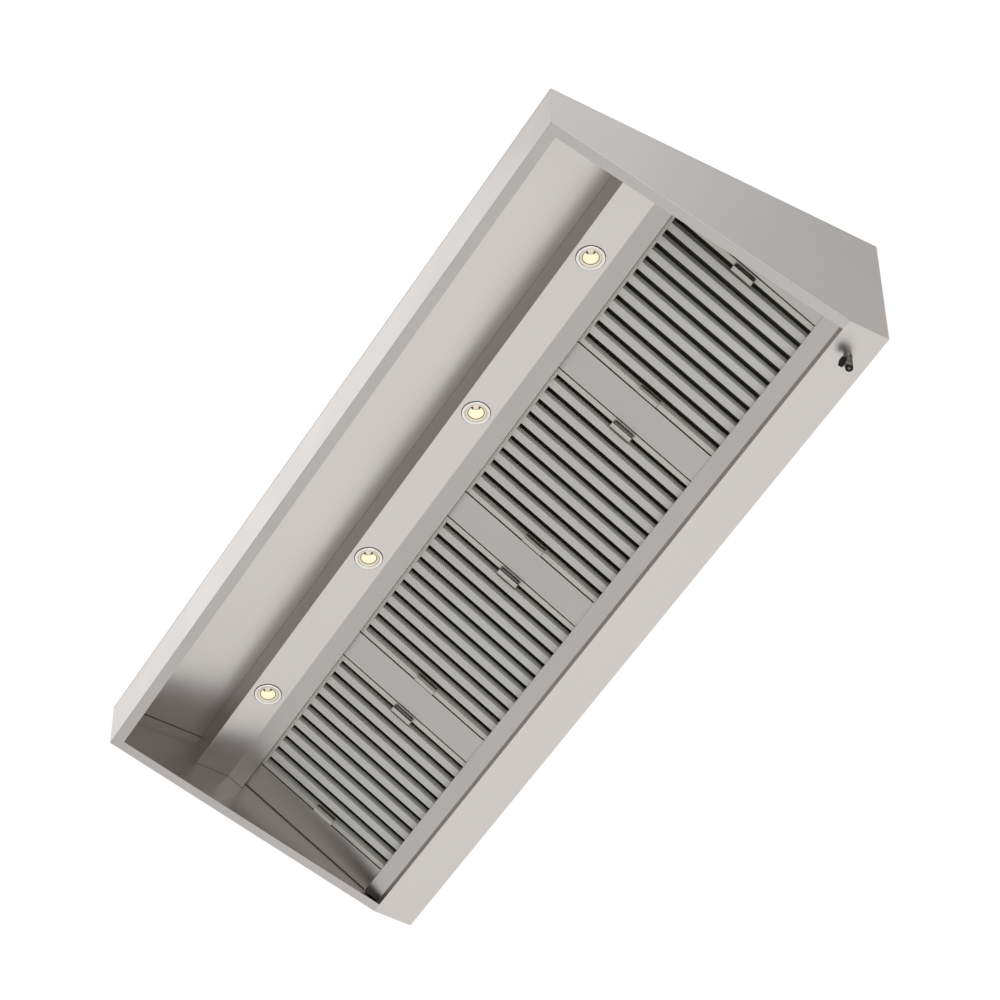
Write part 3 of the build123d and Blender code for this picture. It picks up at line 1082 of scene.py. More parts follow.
@dataclass
class LightBox(SubAssembly):
    """Light box folded in one with the upper channel, its cover and the four lamps."""

    hole_radius: float = 29.0
    cover_set_in: float = 2.0
    cover_flange: float = 10.0
    ring_radius: float = 31.2
    # Reach of the black ring beyond the lamp ring, which paints the shadow gap
    shade_gap_rim: float = 1.1
    mouth_radius: float = 24.0
    throat_radius: float = 18.1
    lens_radius: float = 17.5
    lens_back: float = 13.0
    barrel_height: float = 16.0
    tab_turn: float = -31.0
    tab_width: float = 11.5
    tab_reach: float = 11.1
    clip_wire: float = 0.8
    clip_half_gap: float = 28.0
    lug_reach: float = 15.0

    def box(self) -> BMesh:
        """Make the front wall, light bar and upper channel with the lamp holes.

        Returns:
            The box.
        """
        s = self.sizes
        rear_y, bar_z = s.bar_rear
        front_y = rear_y - s.light_bar
        path = [(front_y + s.top_flange, s.roof_under), (front_y, s.roof_under), (front_y, bar_z),
                (rear_y, bar_z), s.bank_point(s.upper_edge, s.upper_stand_off),
                s.bank_point(s.upper_edge, s.seat), s.bank_point(s.top + s.lift + 2 * s.seat, s.seat)]
        bm = self.lengthwise(path, s.thin_fold)
        pierce(bm, largest_face(bm, DOWN), [(place, self.hole_radius) for place in self.lamp_places()], 48)
        return thicken(bm, s.sheet)

    def cover(self) -> BMesh:
        """Make the cover at the back of the light box.

        Returns:
            The cover.
        """
        s = self.sizes
        rear_y, bar_z = s.bar_rear
        y = rear_y - self.cover_set_in
        path = [(y - self.cover_flange, bar_z + s.sheet), (y, bar_z + s.sheet), (y, s.roof_under),
                (y - self.cover_flange, s.roof_under)]
        return thicken(self.lengthwise(path, s.fold), s.sheet)

    def lamp_places(self) -> list[tuple[float, float, float]]:
        """Give the middle of each lamp on the light bar."""
        return [(x, self.sizes.lamp_y, self.sizes.bar_rear[1]) for x in self.sizes.module_xs]

    def four_turned(self, profile: Sequence[Point], steps: int = 64) -> BMesh:
        """Turn a lamp part and put one in each lamp.

        Args:
            profile: Radius and height of each point.
            steps: Steps of the full turn.

        Returns:
            The four parts.
        """
        return repeated(turned(profile, steps), self.lamp_places())

    def rings(self) -> BMesh:
        """Make the four rings with their barrels.

        Returns:
            The rings.
        """
        outer, inner, barrel = self.ring_radius, self.mouth_radius, self.hole_radius - 0.5
        profile = [(inner, -1.2), (inner + 0.4, -1.9), (inner + 1.6, -2.4), (outer - 2.6, -2.9),
                   (outer - 0.8, -2.5), (outer, -1.7), (outer, -0.9), (barrel, -0.9),
                   (barrel, self.barrel_height), (inner, self.barrel_height)]
        return self.four_turned(profile)

    def shade_gap_rings(self) -> BMesh:
        """Make the four black rings that show as a dark line around the lamp rings: painted shade for the
        shadow gap there.

        Returns:
            The black rings.
        """
        inner, outer = self.hole_radius, self.ring_radius + self.shade_gap_rim
        return self.four_turned([(inner, -0.9), (outer - 0.3, -0.9), (outer, -0.6), (outer, -0.05),
                                 (inner, -0.05)])

    def reflectors(self) -> BMesh:
        """Make the four shallow reflectors with the tab that holds the circlip.

        Returns:
            The reflectors and tabs.
        """
        mouth, throat = self.mouth_radius - 0.7, self.throat_radius
        profile = [(mouth, -0.9), (mouth - 0.3, -1.5), (mouth - 1.6, -1.3), (throat + 1.2, 0.3),
                   (throat + 0.3, 0.9), (throat, 1.7), (throat, 6.0), (mouth, 6.0)]
        length = self.mouth_radius - 1.4 - self.tab_reach
        tab = block((length, self.tab_width, 1.4), Matrix.Rotation(radians(self.tab_turn), 4, "Z")
                    @ Matrix.Translation((self.tab_reach + length / 2, 0, -0.9)))
        return repeated(joined(turned(profile, 64), tab), self.lamp_places())

    def lenses(self) -> BMesh:
        """Make the four thick lenses, a little domed towards the room.

        Returns:
            The lenses.
        """
        edge, back = self.lens_radius, self.lens_back
        return self.four_turned([(0.02, -0.2), (7.0, 0.0), (13.0, 0.5), (edge - 0.8, 1.3), (edge, 2.2),
                                 (edge, back), (0.02, back)], 48)

    def circlips(self) -> BMesh:
        """Make the open wire rings that hold the lenses, with their lugs and the bar under the tab.

        Returns:
            The rings, lugs and bars.
        """
        bm, lugs = bmesh.new(), bmesh.new()
        upright = Matrix.Rotation(pi / 2, 4, "X")
        bmesh.ops.create_circle(bm, segments=8, radius=self.clip_wire, cap_ends=True,
                                matrix=Matrix.Translation((self.lens_radius + 0.3, 0, 0)) @ upright)
        arc = 360.0 - 2 * self.clip_half_gap
        bmesh.ops.spin(bm, geom=bm.verts[:] + bm.edges[:] + bm.faces[:], cent=(0, 0, 0), axis=UP,
                       angle=radians(arc), steps=50, use_merge=False)
        for turn in (0.0, arc):
            place = Matrix.Rotation(radians(turn), 4, "Z") \
                @ Matrix.Translation((self.lug_reach, 0, -0.5)) @ Matrix.Rotation(pi / 2, 4, "Y")
            bmesh.ops.create_cone(lugs, cap_ends=True, segments=12, radius1=2.5, radius2=2.7, depth=4.6,
                                  matrix=place)
        place = Matrix.Rotation(radians(-self.clip_half_gap), 4, "Z") \
            @ Matrix.Translation((self.tab_reach, 0, -1.9)) @ upright
        bmesh.ops.create_cone(lugs, cap_ends=True, segments=12, radius1=self.clip_wire,
                              radius2=self.clip_wire, depth=self.tab_width, matrix=place)
        whole = joined(bm, lugs)
        bmesh.ops.recalc_face_normals(whole, faces=whole.faces[:])
        turn = Matrix.Rotation(radians(self.clip_half_gap + self.tab_turn), 4, "Z")
        return repeated(moved(whole, Matrix.Translation((0, 0, 0.9)) @ turn), self.lamp_places())

    def build(self) -> None:
        """Make and dress the pieces."""
        piece, steel = self.bench.piece, "satin_stainless"
        piece(self.box(), "light_box_sheet", SHEET_LONG, steel, ["light_box"])
        piece(self.cover(), "light_box_cover_sheet", SHEET_LONG, steel, ["light_box_cover"])
        piece(self.rings(), "lamp_rings", LAMP_RING, "bright_steel", ["lamp_bezels"], smooth=True)
        # Black rings under the lamp rings paint the shadow gap around them as a dark line
        piece(self.shade_gap_rings(), "lamp_shade_gap_rings", RUBBER_AND_SHADE_BLACK, "black_plastic", smooth=True)
        piece(self.reflectors(), "lamp_reflectors", REFLECTOR, "bright_steel", smooth=True)
        piece(self.lenses(), "lamp_lens_domes", LAMP_LENS, "diffuser", ["lamp_lenses"], smooth=True)
        piece(self.circlips(), "lamp_circlips", BRONZE, "spring_steel", smooth=True)
        self.bench.dress("lamp_heat_sinks", HEAT_SINK)
        self.bench.dress("lamp_clips", SPRING)
        self.bench.dress("led_driver", WHITE_CASE)


@dataclass
class BlankingPlates(SubAssembly):
    """Folded plates between the filters and at both ends of the bank."""

    def plate(self, number: int) -> BMesh:
        """Make one plate.

        Args:
            number: Place of the plate from the left, from 0.

        Returns:
            The plate.
        """
        s = self.sizes
        centre = (number - s.filter_count / 2) * s.pitch
        left = max(centre - s.blank_module / 2 + s.blank_side_gap, -s.inner_half)
        right = min(centre + s.blank_module / 2 - s.blank_side_gap, s.inner_half)
        path = [(right, -s.blank_return), (right, s.seat), (left, s.seat), (left, -s.blank_return)]
        bm = thicken(folded_sheet(path, -s.top, -s.foot, s.thin_fold), s.sheet)
        return moved(bm, s.bank_matrix() @ DOWN_SLOPE)

    def build(self) -> None:
        """Make and dress the pieces."""
        for number in range(self.sizes.filter_count + 1):
            self.bench.piece(self.plate(number), f"blanking_sheet_{number + 1}", SHEET_BANK,
                             "satin_stainless", [f"blank_plate_{number + 1}"])


@dataclass
class SealedJoints(SubAssembly):
    """Beads of sealant where the sheets meet the side panels, and black strips beside the filters that paint
    the shade in the gaps there.
    """

    flange_bead: float = 3.0
    box_bead: float = 0.7
    end_bead: float = 3.0
    proud: float = 0.25
    bead_sheet: float = 0.5
    shade_strip_width: float = 2.3
    shade_strip_lap: float = 0.6

    def bead(
        self, path: Sequence[Point], side: int, at: float, width: float, fold: float = 0.0
    ) -> BMesh:
        """Make one flat bead that runs along a path in (Y, Z).

        Args:
            path: Points of the bead's outer face.
            side: 1 at the right end, -1 at the left.
            at: Distance of its outer edge from the middle of the hood.
            width: Width of the bead towards the middle.
            fold: Set-back where the bead turns a corner.

        Returns:
            The bead.
        """
        start, end = sorted((side * at, side * (at - width)))
        return thicken(folded_sheet(path, start, end, fold), self.bead_sheet)

    def beads(self) -> BMesh:
        """Make the beads along the roof flanges, the light box ends and the outer blanking plates.

        Returns:
            The beads.
        """
        s = self.sizes
        rear_y, bar_z = s.bar_rear
        out = self.proud
        level = s.roof_under - self.bead_sheet
        flange = [(-s.depth + s.sheet + s.top_flange, level), (-s.sheet - s.top_flange, level)]
        box = [(rear_y - s.light_bar, bar_z - out), (rear_y, bar_z - out),
               s.bank_point(s.upper_edge, s.upper_stand_off + out)]
        lines = ((flange, s.inner_half - s.top_flange, self.flange_bead, 0.0),
                 (box, s.inner_half, self.box_bead, s.thin_fold),
                 (self.bank_line, s.inner_half, self.end_bead, 0.0))
        return joined(*(self.bead(path, side, at, width, fold)
                        for side in (-1, 1) for path, at, width, fold in lines))

    @property
    def bank_line(self) -> list[Point]:
        """Line just proud of the blanking plates, from the upper channel to the lower one."""
        s = self.sizes
        return [s.bank_point(up, s.seat + self.proud) for up in (s.upper_edge + 2, s.foot + 18)]

    def gap_shade_strips(self) -> BMesh:
        """Make the black strips on the blanking plates, in the gaps beside the filters: painted shade for the
        dark gaps.

        Returns:
            The strips.
        """
        s = self.sizes
        gap = s.module / 2 + s.blank_side_gap + self.shade_strip_lap
        edges = [edge for x in s.module_xs for edge in (x + gap, x - gap + self.shade_strip_width)]
        return joined(*(self.bead(self.bank_line, 1, edge, self.shade_strip_width) for edge in edges))

    def build(self) -> None:
        """Make and dress the beads."""
        self.bench.piece(self.beads(), "sealant_beads", SEALANT, "black_plastic")
        # Black strips in the gaps beside the filters: painted shade
        self.bench.piece(self.gap_shade_strips(), "plate_gap_shade_strips", RUBBER_AND_SHADE_BLACK, "black_plastic")


@dataclass
class BaffleFilter(SubAssembly):
    """One lift-out filter: mitred frame, front and rear baffles and two finger pulls."""

    number: int
    x: float
    thickness: float = 48.0
    sheet: float = 1.0
    face: float = 13.5
    baffle_sheet: float = 0.8
    baffle_fold: float = 1.6
    baffle_width: float = 20.0
    baffle_gap: float = 19.0
    front_depth: float = 16.5
    overhang: float = 7.0
    rear_top: float = 14.0
    rear_low: float = 41.0
    weep_length: float = 22.0
    weep_height: float = 5.0
    weep_top: float = 2.0
    weep_pitch: float = 400.0 / 3
    slot_width: float = 8.5
    slot_length: float = 47.0
    pull_inset: float = 4.0
    pull_width: float = 18.0
    pull_length: float = 54.0
    pull_height: float = 12.0
    pull_reach: float = 14.5
    pull_bend: float = 4.0
    pull_sheet: float = 1.5
    pull_fold: float = 1.5

    @property
    def inner_width(self) -> float:
        """Clear width inside the frame's faces."""
        return self.sizes.filter_length - 2 * self.face

    @property
    def baffle_count(self) -> int:
        """Number of front baffles."""
        return round((self.inner_width - self.baffle_gap) / (self.baffle_width + self.baffle_gap))

    @property
    def bay(self) -> float:
        """Gap between the front baffles."""
        return (self.inner_width - self.baffle_count * self.baffle_width) / (self.baffle_count + 1)

    def frame_member(self, mark: str) -> BMesh:
        """Make one mitred member of the frame along the foot of the filter.

        Args:
            mark: "foot" for the member with the weep slots, "side" for the ones with a finger slot, or "top".

        Returns:
            The member, lying along the foot.
        """
        size = self.sizes.filter_length
        path = [(self.face, 0.0), (0.0, 0.0), (0.0, -self.thickness), (self.face, -self.thickness)]
        bm = folded_sheet(path, -size / 2, size / 2, self.sizes.thin_fold)
        for side in (-1, 1):
            mitre(bm, (side * size / 2, 0, 0), (side, 1, 0))
        if mark == "foot":
            half = self.weep_length / 2
            low, high = -self.weep_top - self.weep_height, -self.weep_top
            slots = [j * self.weep_pitch for j in (-1, 0, 1)]
            across = [((x + k * half, 0, 0), (1, 0, 0)) for x in slots for k in (-1, 1)]
            cut_away(bm, across + [((0, 0, low), UP), ((0, 0, high), UP)],
                     lambda c: c.y < 0.01 and low < c.z < high and any(abs(c.x - x) < half for x in slots))
        if mark == "side":
            half = self.slot_length / 2
            low, high = self.pull_inset, self.pull_inset + self.slot_width
            ends = [((-half, 0, 0), (1, 0, 0)), ((half, 0, 0), (1, 0, 0))]
            cut_away(bm, ends + [((0, low, 0), TO_WALL), ((0, high, 0), TO_WALL)],
                     lambda c: c.z > -0.01 and low < c.y < high and abs(c.x) < half)
        return thicken(bm, self.sheet)

    def frame(self) -> BMesh:
        """Make the whole frame from its four members.

        Returns:
            The frame.
        """
        middle = Matrix.Translation((0, self.sizes.filter_length / 2, 0))
        turns = [middle @ Matrix.Rotation(k * pi / 2, 4, "Z") @ middle.inverted() for k in range(4)]
        marks = ("foot", "side", "top", "side")
        return joined(*(moved(self.frame_member(mark), turn) for mark, turn in zip(marks, turns)))

    def baffle(self, front: bool) -> BMesh:
        """Make one baffle at the left of the frame.

        Args:
            front: True for a front baffle, False for a rear one.

        Returns:
            The baffle.
        """
        left = -self.inner_width / 2
        if front:
            left += self.bay
            right, high, low = left + self.baffle_width, -self.sheet, -self.sheet - self.front_depth
            path = [(right, low), (right, high), (left, high), (left, low)]
        else:
            right, high, low = left + self.bay + self.overhang, -self.rear_top, -self.rear_low
            left -= self.overhang
            path = [(left, high), (left, low), (right, low), (right, high)]
        return self.upright(path, self.baffle_fold)

    def upright(self, path: Sequence[Point], fold: float) -> BMesh:
        """Fold a baffle sheet that runs down the whole filter.

        Args:
            path: Points of the outer face across and out of the filter.
            fold: Set-back of each rounded fold.

        Returns:
            The sheet.
        """
        bm = folded_sheet(path, -self.sizes.filter_length + self.sheet, -self.sheet, fold)
        return moved(thicken(bm, self.baffle_sheet), DOWN_SLOPE)

    def edge_baffle(self, side: int) -> BMesh:
        """Make the upright strip that closes the inner edge of one side rail.

        Args:
            side: 1 for the right rail, -1 for the left one.

        Returns:
            The strip.
        """
        edge = self.inner_width / 2
        bm = self.upright([(edge, -self.sheet), (edge, -self.sheet - self.front_depth)], 0.0)
        return bm if side > 0 else mirrored(bm)

    def baffles(self, front: bool) -> BMesh:
        """Make all the front or all the rear baffles.

        Args:
            front: True for the front baffles.

        Returns:
            The baffles.
        """
        count = self.baffle_count if front else self.baffle_count + 1
        pitch = self.baffle_width + self.bay
        row = repeated(self.baffle(front), [(k * pitch, 0, 0) for k in range(count)])
        return joined(row, self.edge_baffle(-1), self.edge_baffle(1)) if front else row

    def pull(self, side: int) -> BMesh:
        """Make one finger pull: a bent crown between two cheeks.

        Args:
            side: 1 for the right rail, -1 for the left one.

        Returns:
            The pull.
        """
        outer = self.sizes.filter_length / 2 - self.pull_inset
        inner = outer - self.pull_width
        low = (self.sizes.filter_length - self.pull_length) / 2
        high, bend, wall = self.pull_height, self.pull_bend, self.pull_sheet
        path = [(inner, 0.0), (inner, high - bend), (inner + bend, high), (inner + self.pull_reach, high)]
        parts = [thicken(folded_sheet(path[::-1], -low - self.pull_length, -low, self.pull_fold), wall)]
        for start in (-low - self.pull_length, -low - wall):
            cheek = bmesh.new()
            cheek.faces.new([cheek.verts.new((start, u, v)) for u, v in path + [(outer, 0.0)]])
            moved_new(cheek, bmesh.ops.extrude_face_region(cheek, geom=cheek.faces[:])["geom"], (wall, 0, 0))
            bmesh.ops.recalc_face_normals(cheek, faces=cheek.faces[:])
            parts.append(eased(cheek, 0.35))
        whole = moved(joined(*parts), DOWN_SLOPE)
        whole.normal_update()
        # Faces that look across the filter or back into it take material number 1, the darker steel painted
        # as shade; on the left pulls the limit is lower, so that their bent edges, in the shade of the next
        # baffle, are painted dark too
        painted_shade_limit = -0.95 if side > 0 else -0.3
        for face in whole.faces:
            face.material_index = int(not painted_shade_limit < face.normal.x < 0.3 or face.normal.z < -0.3)
        return whole if side > 0 else mirrored(whole)

    def build(self) -> None:
        """Make and dress the pieces."""
        body = f"filter_{self.number}"
        place = self.sizes.bank_matrix(self.x, self.sizes.foot)
        pulls = joined(self.pull(-1), self.pull(1))
        for bm, mark, finish, slot, node, inner in (
            (self.frame(), "rails", FILTER_STEEL, "filter_steel", "frame", None),
            (self.baffles(True), "front_slats", BAFFLE_STEEL, "baffle_steel", "front_baffles", None),
            # The rear baffles take the much darker steel as painted shade, and so do the pulls' shaded faces
            (self.baffles(False), "rear_slats", SHADED_BAFFLE_STEEL, "baffle_steel", "rear_baffles", None),
            (pulls, "finger_pulls", PULL_STEEL, "filter_steel", "pulls", SHADED_BAFFLE_STEEL),
        ):
            self.bench.piece(moved(bm, place), f"{body}_{mark}", finish, slot, [f"{body}_{node}"], body,
                             painted_shade_finish=inner)


@dataclass
class RoofFittings(SubAssembly):
    """Duct collar, hanging brackets and cable gland on the roof."""

    collar_radius: float = 157.0
    collar_height: float = 50.0
    collar_flange: float = 20.0
    collar_y: float = -250.0
    hanger_x: float = 900.0
    hanger_ys: Point = (-700.0, -100.0)
    hanger_sheet: float = 3.0
    hanger_width: float = 40.0
    hanger_foot: float = 36.0
    hanger_rise: float = 28.0
    hanger_leg: float = 34.0
    hanger_hole: float = 5.5
    gland_x: float = 640.0
    gland_bore: float = 5.0

    def collar(self) -> BMesh:
        """Make the collar: a square flange and a rolled wall with a stiffening bead.

        Returns:
            The collar.
        """
        s = self.sizes
        inner, outer = self.collar_radius - s.sheet, self.collar_radius
        low, high = s.height + s.sheet, s.height + self.collar_height
        half = outer + self.collar_flange
        flange = folded_sheet([(half, low), (-half, low)], -half, half, 0)
        pierce(flange, largest_face(flange, UP), [((0, 0, low), inner)], 96)
        thicken(flange, s.sheet)
        profile = [(inner, low), (outer, low), (outer, low + 16), (outer, low + 18), (outer, low + 22),
                   (outer, high - 0.4), (outer - 0.4, high), (inner + 0.4, high), (inner, high - 0.4),
                   (inner, low + 23), (inner - 2.2, low + 20), (inner, low + 17)]
        return moved(joined(flange, turned(profile, 96)), Matrix.Translation((0, self.collar_y, 0)))

    def hanger(self, side: int, y: float) -> BMesh:
        """Make one hanging bracket.

        Args:
            side: 1 at the right end, -1 at the left.
            y: Place along the depth.

        Returns:
            The bracket.
        """
        leg, rise = self.hanger_leg / 2, self.hanger_rise
        path = [(-leg - self.hanger_foot, 0.0), (-leg, 0.0), (-leg, rise), (leg, rise)]
        bm = folded_sheet(path, -self.hanger_width / 2, self.hanger_width / 2, self.sizes.fold)
        pierce(bm, largest_face(bm, DOWN, rise - 0.1), [((0, 0, rise), self.hanger_hole)], 32)
        thicken(bm, self.hanger_sheet)
        turn = Matrix.Rotation(-side * pi / 2, 4, "Z")
        return moved(bm, Matrix.Translation((side * self.hanger_x, y, self.sizes.height)) @ turn)

    def gland(self) -> BMesh:
        """Make the cable gland with its threaded end and cap.

        Returns:
            The gland.
        """
        body = hexagon(24.0, 0.0, 8.0, 0.6)
        cap = hexagon(22.0, 8.0, 18.0, 0.8)
        bore, crest, root = self.gland_bore, 10.0, 9.3
        dome = turned([(bore, 17.0), (10.4, 17.0), (9.6, 20.0), (7.4, 22.0), (bore, 22.0)], 40)
        thread = [(bore, -11.5)]
        for k in range(7):
            thread += [(root, -11.5 + k * 1.5), (crest, -10.9 + k * 1.5)]
        whole = joined(body, cap, dome, turned(thread + [(root, -0.4), (bore, -0.4)], 40))
        return moved(whole, Matrix.Translation((self.gland_x, self.sizes.lamp_y, self.sizes.height)))

    def build(self) -> None:
        """Make and dress the pieces."""
        piece, zinc = self.bench.piece, "galvanised_steel"
        piece(self.collar(), "duct_collar", ZINC, zinc, ["exhaust_collar"], smooth=True)
        corners = [(side, y) for y in self.hanger_ys for side in (-1, 1)]
        for k, (side, y) in enumerate(corners, start=1):
            piece(self.hanger(side, y), f"hanging_bracket_{k}", ZINC, zinc, [f"hanger_bracket_{k}"])
        piece(self.gland(), "cable_entry_gland", GREY_NYLON, "grey_nylon", ["cable_gland"])
        self.bench.dress("cable_gland_nut", GREY_NYLON)


@dataclass
class DrainCock(SubAssembly):
    """Quarter-turn drain cock under the right end of the gutter."""

    x: float = 920.0
    length: float = 40.0
    barrel_radius: float = 8.8
    outlet_radius: float = 8.3
    outlet_length: float = 6.0
    thread_radius: float = 8.3
    bore: float = 5.0
    plug_above_outlet: float = 14.0
    boss_radius: float = 7.4
    boss_reach: float = 12.0
    knob_flats: float = 22.0
    knob_thickness: float = 7.0
    knob_gap: float = 0.5

    @property
    def place(self) -> Matrix:
        """Where the cock's axis meets the underside of the gutter."""
        return Matrix.Translation((self.x, -self.sizes.gutter_width / 2, 0))

    def body(self) -> BMesh:
        """Make the barrel with its collar, outlet step, gutter thread and side boss.

        Returns:
            The body.
        """
        low, bore, barrel, step = -self.length, self.bore, self.barrel_radius, self.outlet_radius - 1.6
        shoulder = low + self.outlet_length
        crest, root = self.thread_radius, self.thread_radius - 0.5
        profile = [(bore, low + 1.2), (step, low + 1.2), (step, shoulder - 0.6),
                   (barrel - 0.7, shoulder - 0.6), (barrel, shoulder + 0.2), (barrel, -2.6),
                   (barrel + 1.0, -1.8), (barrel + 1.2, -0.01), (crest, -0.01)]
        for k in range(8):
            profile += [(crest, 0.6 + k * 1.2), (root, 1.2 + k * 1.2)]
        profile += [(root, 10.5), (bore, 10.5)]
        hole, boss, reach = bore + 0.9, self.boss_radius, self.boss_reach
        side = turned([(hole, 0.0), (boss + 0.6, 0.0), (boss, 6.0), (boss, reach - 0.5), (boss - 0.5, reach),
                       (hole, reach)], 40)
        moved(side, self.plug_axis)
        return moved(joined(turned(profile, 48), side), self.place)

    @property
    def plug_axis(self) -> Matrix:
        """Turn from the cock's axis to the plug's, at the height of the plug."""
        height = self.plug_above_outlet - self.length
        return Matrix.Translation((0, 0, height)) @ Matrix.Rotation(pi / 2, 4, "X")

    def outlet_seal(self) -> BMesh:
        """Make the rubber ring around the outlet.

        Returns:
            The ring.
        """
        low, outer = -self.length, self.outlet_radius
        profile = [(3.9, low + 0.5), (4.4, low), (outer - 0.8, low), (outer, low + 0.8), (outer, low + 4.6),
                   (outer - 0.4, low + 5.1), (outer - 1.5, low + 5.1), (outer - 1.5, low + 1.1),
                   (3.9, low + 1.1)]
        return moved(turned(profile, 48), self.place)

    def outlet_strainer(self) -> BMesh:
        """Make the domed strainer button in the outlet.

        Returns:
            The button.
        """
        low = -self.length
        return moved(turned([(0.02, low + 0.5), (1.6, low + 0.6), (3.0, low + 1.1), (3.8, low + 2.0),
                             (3.8, low + 3.0), (0.02, low + 3.0)], 32), self.place)

    def knob(self) -> BMesh:
        """Make the knob: a hexagonal grip with a raised bar across its face.

        Returns:
            The knob.
        """
        grip = hexagon(self.knob_flats, 0.0, self.knob_thickness, 1.6)
        bar = block((15.0, 4.0, 1.6), Matrix.Translation((0, 0, self.knob_thickness - 0.4)))
        out = Matrix.Translation((0, 0, self.boss_reach + self.knob_gap))
        return moved(joined(grip, bar), self.place @ self.plug_axis @ out)

    def build(self) -> None:
        """Make and dress the pieces."""
        piece, steel, black = self.bench.piece, "drain_steel", "black_plastic"
        piece(self.body(), "drain_barrel", DRAIN_STEEL, steel, ["drain_body"], smooth=True)
        piece(self.outlet_seal(), "drain_outlet_seal", RUBBER_AND_SHADE_BLACK, black, smooth=True)
        piece(self.outlet_strainer(), "drain_outlet_strainer", DRAIN_STEEL, steel, smooth=True)
        piece(self.knob(), "drain_grip", BLACK_KNOB, black, ["drain_knob"], "drain_cock")
        for name in ("drain_lock_nut", "drain_plug"):
            self.bench.dress(name, DRAIN_STEEL)


# Studio


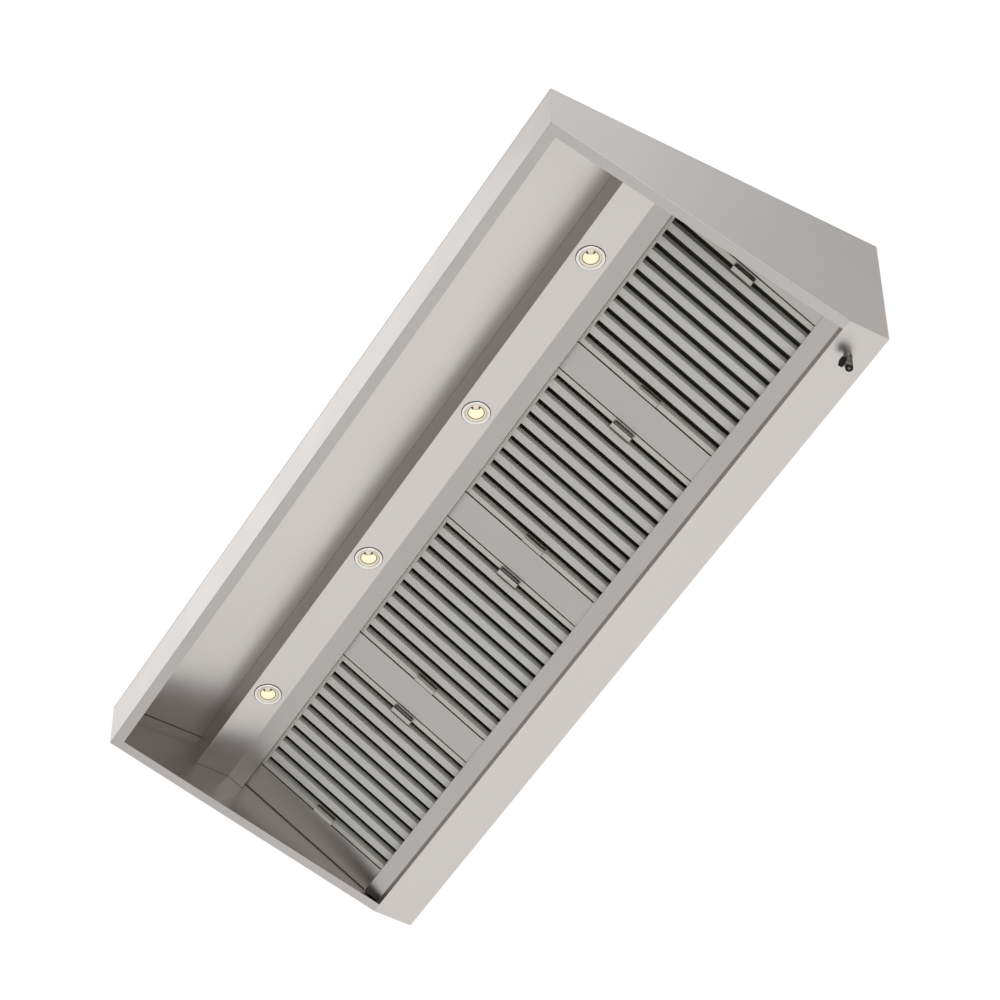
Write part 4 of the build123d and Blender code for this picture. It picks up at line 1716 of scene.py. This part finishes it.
@dataclass
class Studio:
    """Camera, lights, floor and surroundings.

    Attributes:
        camera_at: Place of the camera in metres.
        looks_along: Direction in which it looks.
        image_up: Direction that is upright in the picture.
        lens_mm: Focal length on a 36 mm sensor.
        floor_z: Height of the floor in metres.
        floor_half: Half the side of the floor in metres.
        floor_fade: Distance in metres at which the floor has turned into the white surroundings.
        floor_white: Share of white that the eye sees in the floor's middle.
        soft_level: Strength of the surroundings that light the object.
        ceiling_level: Strength of the surroundings that mirrored rays see straight above.
    """

    camera_at: tuple[float, float, float] = (4.61007, -3.05400, -6.19456)
    looks_along: tuple[float, float, float] = (-0.55501, 0.32704, 0.76486)
    image_up: tuple[float, float, float] = (0.66249, -0.38228, 0.64418)
    lens_mm: float = 134.1
    floor_z: float = -7.0
    floor_half: float = 60.0
    floor_fade: float = 30.0
    floor_white: float = 0.6
    soft_level: float = 0.55
    ceiling_level: float = 0.78

    def camera(self) -> None:
        """Put the camera where the photo was taken from."""
        data = bpy.data.cameras.new("photo_camera")
        data.lens = self.lens_mm
        data.sensor_width = 36.0
        data.clip_end = 100.0
        camera = placed("photo_camera", data)
        back = -Vector(self.looks_along).normalized()
        up = (Vector(self.image_up) - back * Vector(self.image_up).dot(back)).normalized()
        turn = Matrix((up.cross(back), up, back)).transposed().to_4x4()
        camera.matrix_world = Matrix.Translation(self.camera_at) @ turn
        bpy.context.scene.camera = camera

    def lamp(self, name: str, at: Sequence[float], aim: Sequence[float], size: float, watts: float) -> None:
        """Hang one soft square lamp.

        Args:
            name: Name of the lamp.
            at: Where it hangs, in metres.
            aim: The point that it lights.
            size: Side of the lamp in metres.
            watts: Power.
        """
        data = bpy.data.lights.new(name, "AREA")
        data.size = size
        data.energy = watts
        way = Vector(aim) - Vector(at)
        turn = way.to_track_quat("-Z", "Y").to_matrix().to_4x4()
        placed(name, data).matrix_world = Matrix.Translation(at) @ turn

    def world(self) -> None:
        """White surroundings for the eye and for reflections, and a softer level for the lighting."""
        world = bpy.data.worlds.new("studio_world")
        world.use_nodes = True
        bpy.context.scene.world = world
        tree = world.node_tree
        tree.nodes.clear()
        path = add_node(tree, "LightPath")
        seen = add_node(tree, "Math", {"operation": "MAXIMUM"}, None,
                        {0: path.outputs["Is Camera Ray"], 1: path.outputs["Is Glossy Ray"]})
        seen = add_node(tree, "Math", {"operation": "MAXIMUM"}, None,
                        {0: seen, 1: path.outputs["Is Transmission Ray"]})
        sky = add_node(tree, "TexCoord").outputs["Generated"]
        height = add_node(tree, "SeparateXYZ", None, None, {0: sky})
        ceiling = add_node(tree, "MapRange", None, {"To Min": 1.0, "To Max": self.ceiling_level},
                           {"Value": height.outputs["Z"]})
        reflected = add_node(tree, "Mix", {"data_type": "FLOAT"}, {3: 1.0},
                            {0: path.outputs["Is Camera Ray"], 2: ceiling})
        level = add_node(tree, "MapRange", None, {"To Min": self.soft_level},
                         {"Value": seen, "To Max": reflected})
        shade = add_node(tree, "Background", None, {"Color": (1.0, 1.0, 1.0, 1.0)},
                         {"Strength": level})
        add_node(tree, "OutputWorld", None, None, {"Surface": shade})

    def floor(self) -> None:
        """Lay the pale floor, which keeps the shadow, fades to white far off and is white in reflections."""
        bm = bmesh.new()
        bmesh.ops.create_grid(bm, x_segments=1, y_segments=1, size=self.floor_half,
                              matrix=Matrix.Translation((0, 0, self.floor_z)))
        mesh = bpy.data.meshes.new("studio_floor")
        bm.to_mesh(mesh)
        bm.free()
        material, tree, place = new_material("studio_floor")
        path = add_node(tree, "LightPath")
        reflected = add_node(tree, "Math", {"operation": "MAXIMUM"}, None,
                            {0: path.outputs["Is Glossy Ray"], 1: path.outputs["Is Transmission Ray"]})
        reach = 1.0 / self.floor_fade
        flat = add_node(tree, "Mapping", None, {"Scale": (reach, reach, 0.0)}, {"Vector": place})
        near = add_node(tree, "TexGradient", {"gradient_type": "SPHERICAL"}, None,
                        {"Vector": flat})
        share = add_node(tree, "MapRange", {"interpolation_type": "SMOOTHSTEP"},
                         {"From Max": 0.8, "To Min": 1.0, "To Max": self.floor_white},
                         {"Value": near.outputs["Fac"]})
        direct = add_node(tree, "Math", {"operation": "MULTIPLY"}, None,
                          {0: path.outputs["Is Camera Ray"], 1: share})
        seen = add_node(tree, "Math", {"operation": "MAXIMUM"}, None,
                        {0: reflected, 1: direct})
        matt = add_node(tree, "BsdfPrincipled", None,
                        {"Base Color": linear("#F2F2F0"), "Roughness": 0.9})
        white = add_node(tree, "Emission", None, {"Color": (1.0, 1.0, 1.0, 1.0), "Strength": 1.0})
        mix = add_node(tree, "MixShader", None, None,
                       {0: seen, 1: matt, 2: white})
        add_node(tree, "OutputMaterial", None, None, {"Surface": mix})
        mesh.materials.append(material)
        floor = placed("studio_floor", mesh)

    def build(self) -> None:
        """Set up the whole studio."""
        bpy.context.scene.view_settings.view_transform = "Standard"
        self.camera()
        self.world()
        self.floor()
        middle = (0.0, -0.4, 0.0)
        for name, at, aim, size, watts in (
            ("low_rear_soft_box", (-3.2, 1.7, -5.3), middle, 5.0, 44.0),
            ("high_front_soft_box", (-3.3, -2.4, 4.6), middle, 3.0, 26.0),
            ("right_soft_box", (2.9, -0.1, 2.9), (1.0, -0.6, 0.1), 1.6, 5.0),
            ("low_right_soft_box", (6.0, -2.3, -3.8), middle, 4.5, 152.0),
        ):
            self.lamp(name, at, aim, size, watts)


def main() -> None:
    """Build the scene from the camera to the last fitting."""
    logging.basicConfig(level=logging.INFO, format="%(message)s")
    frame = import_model()
    sizes = HoodSizes()
    Studio().build()
    bench = Bench(frame["nodes"])
    for group in (Shell, GutterAndChannel, LightBox, BlankingPlates, SealedJoints):
        group(sizes, bench).build()
    for number, x in enumerate(sizes.module_xs, start=1):
        BaffleFilter(sizes, bench, number, x).build()
    for group in (RoofFittings, DrainCock):
        group(sizes, bench).build()


if __name__ == "__main__":
    main()
